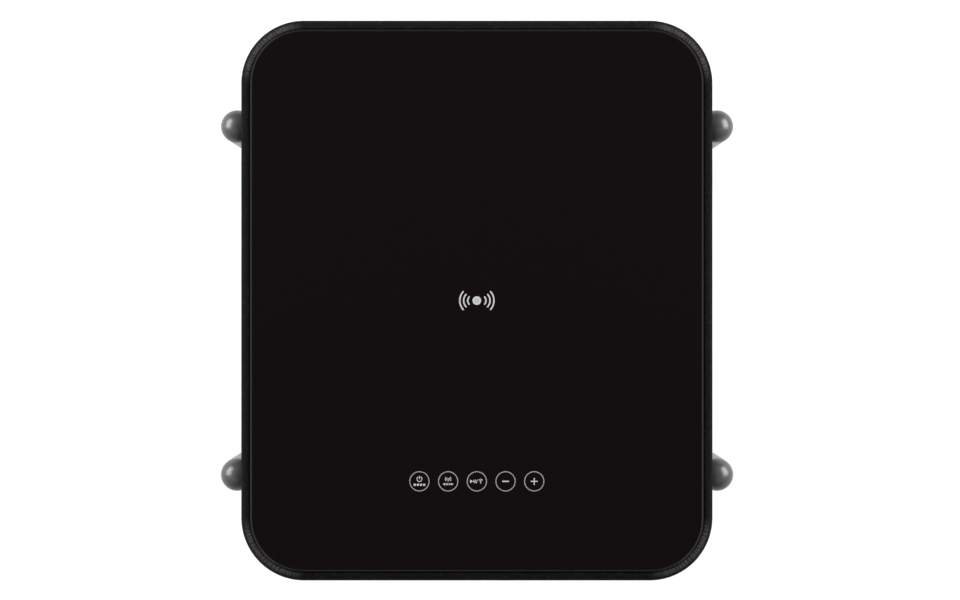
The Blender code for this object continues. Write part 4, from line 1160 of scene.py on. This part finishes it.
def make_sockets():
    """The power inlet with its pin, the audio socket with its collar, and the service port."""
    round_socket("power_socket", "dc_jack", DC_X, 3.2 * MM, 5.4 * MM, 4 * MM, 6 * MM)
    foot = SOCKET_DEPTH - 0.2 * MM
    pin = [*in_mm([(0, -1), (0.6, -1.1), (1, -1.6)]), (1 * MM, foot), (0, foot)]
    finish(lathe("socket_pin", pin, 32, on_panel(DC_X)), NICKEL, slot="steel")
    round_socket("audio_socket", "aux_jack", AUX_X, 1.78 * MM, 4.2 * MM, 3 * MM, 5 * MM)
    collar = in_mm([(2.6, 1.45), (2.6, 1.15), (1.8, 1.15), (1.8, 1.45)])
    finish(lathe("audio_collar", collar, 48, on_panel(AUX_X)), NICKEL, slot="steel")
    here = on_panel(USB_X)
    width, height, radius = 9.5 * MM, 3.7 * MM, 1.84 * MM
    block_face = -9.1 * MM
    mouth = box_outline(8.4 * MM, 2.6 * MM, 1.29 * MM, steps=10)
    shell = [box_outline(width, height, radius, steps=10), mouth]
    usb = plate("usb_shell", shell, -9 * MM, 0.2 * MM, 0.12 * MM, 2, here)
    finish(usb, "steel", "usb_port")
    block = plate("usb_block", [box_outline(width, height, radius)], SOCKET_BACK, block_face, matrix=here)
    finish(block, "steel")
    bar = [box_outline(6.7 * MM, 0.7 * MM, 0.2 * MM)]
    tongue = plate("usb_tongue", bar, block_face, -1 * MM, 0.1 * MM, 1, here)
    finish(tongue, "black_plastic")


def make_rocker():
    """The bezel, the well behind it, and the paddle on its axle."""
    opening = box_outline(12.6 * MM, 21.4 * MM, 0.5 * MM)
    flange = [box_outline(18.4 * MM, 27.4 * MM, 1.5 * MM), opening]
    bezel = plate("rocker_bezel", flange, 0.3 * MM, 1.3 * MM, 0.3 * MM, 2, on_panel(ROCKER_X))
    finish(bezel, "black_plastic", "rocker_frame")
    walls = [box_outline(15 * MM, 24 * MM, 0.8 * MM), opening]
    well = plate("rocker_well", walls, -14.5 * MM, 0.35 * MM, matrix=on_panel(ROCKER_X))
    finish(well, "black_plastic")
    half, width, tip, root = 9.3 * MM, 5.9 * MM, 6.2 * MM, 0.1 * MM
    front = [(tip, -half)]
    for share in np.linspace(-0.92, 0.92, 17):
        front.append(((4.6 + 1.5 * share * share) * MM, half * share))
    front += [(tip, half), (root, half), *in_mm([(-4, 2), (-4, -2)]), (root, -half)]
    tilt = Matrix.Rotation(math.radians(8), 4, "X")
    axle_behind = 6 * MM
    pivot = Matrix.Translation((ROCKER_X, PANEL_FACE_Y - axle_behind, PANEL_Z)) @ tilt
    turn = Matrix(((0, 0, 1), (1, 0, 0), (0, 1, 0))).to_4x4()
    paddle = plate("rocker_paddle", [front], -width, width, 0.35 * MM, 2, pivot @ turn)
    finish(paddle, "black_plastic", "power_rocker", "rocker")
    pin = in_mm([(0, 7.2), (1.2, 7.2), (1.2, -7.2), (0, -7.2)])
    axle = lathe("rocker_axle", pin, 32, pivot @ Matrix.Rotation(math.pi / 2, 4, "Y"))
    finish(axle, "black_plastic", body="rocker")


# ---- studio


def make_floor():
    half, drop = 12.0, -0.0005
    points = [(-half, -half, drop), (half, -half, drop), (half, half, drop), (-half, half, drop)]
    floor = mesh_object("floor", points, [(0, 1, 2, 3)])
    look = Look("pale_floor", (0.25, 0.25, 0.25), 0.9)
    look.set(look.shader, {"Emission Color": (1, 1, 1, 1), "Emission Strength": 0.60})
    floor.data.materials.append(look.material)


def make_world():
    """A bright belt above the horizon, stronger at the two sides, and dim overhead so that the glass stays
    dark. The camera itself sees a plain white backdrop."""
    world = bpy.data.worlds.new("studio")
    bpy.context.scene.world = world
    world.use_nodes = True
    studio = Nodes(world.node_tree)
    axes = studio.axes("Generated")
    belt = ((0.0, 0.26), (0.45, 0.26), (0.65, 0.65), (0.75, 1.0), (0.88, 1.0), (0.94, 0.45), (0.97, 0.02))
    sideways = studio.maths("MULTIPLY", axes["X"], axes["X"])
    light = studio.tree.nodes["Background"]
    studio.link(studio.ramp(axes["Z"], belt), light.inputs["Color"])
    studio.link(studio.maths("MULTIPLY_ADD", sideways, 1.7, 0.5), light.inputs["Strength"])
    backdrop = studio.node("Background", {"Color": (1, 1, 1, 1)})
    seen = studio.node("MixShader")
    studio.link(studio.node("LightPath").outputs["Is Camera Ray"], seen.inputs[0])
    studio.link(light.outputs[0], seen.inputs[1])
    studio.link(backdrop.outputs[0], seen.inputs[2])
    studio.link(seen.outputs[0], studio.tree.nodes["World Output"].inputs["Surface"])


def make_softbox(name, direction, distance, size, power):
    light = bpy.data.lights.new(name, "AREA")
    light.shape = "RECTANGLE"
    light.size, light.size_y = size
    light.energy = power
    target = Vector((0, 0, 0.25))
    at = target + Vector(direction).normalized() * distance
    placed(name, light, facing(at, at - target))


def make_camera():
    camera = bpy.data.cameras.new("camera")
    camera.sensor_width = 36
    camera.lens = 80.7
    camera.clip_end = 50
    above_glass = 1.5
    place = Matrix.Translation((2.2 * MM, 0.4 * MM, TOP + above_glass))
    bpy.context.scene.camera = placed("camera", camera, place)


def make_all():
    paint_cad_nodes()
    make_camera()
    make_glass()
    charging_mark()
    touch_keys()
    make_cloth()
    make_trim()
    for corner in CORNERS:
        make_leg(corner)
        make_saddle(corner)
    make_woofer()
    make_guard()
    for side in SIDES:
        make_side_driver(side)
    make_port()
    make_panel()
    make_sockets()
    make_rocker()
    make_floor()
    make_world()
    for name, direction in (("left_box", (-0.85, 0.32, 0.52)), ("right_box", (0.87, 0.31, 0.52))):
        make_softbox(name, direction, 1.9, (1.6, 1.05), 70)
    bpy.context.scene.view_settings.view_transform = "Standard"


make_all()
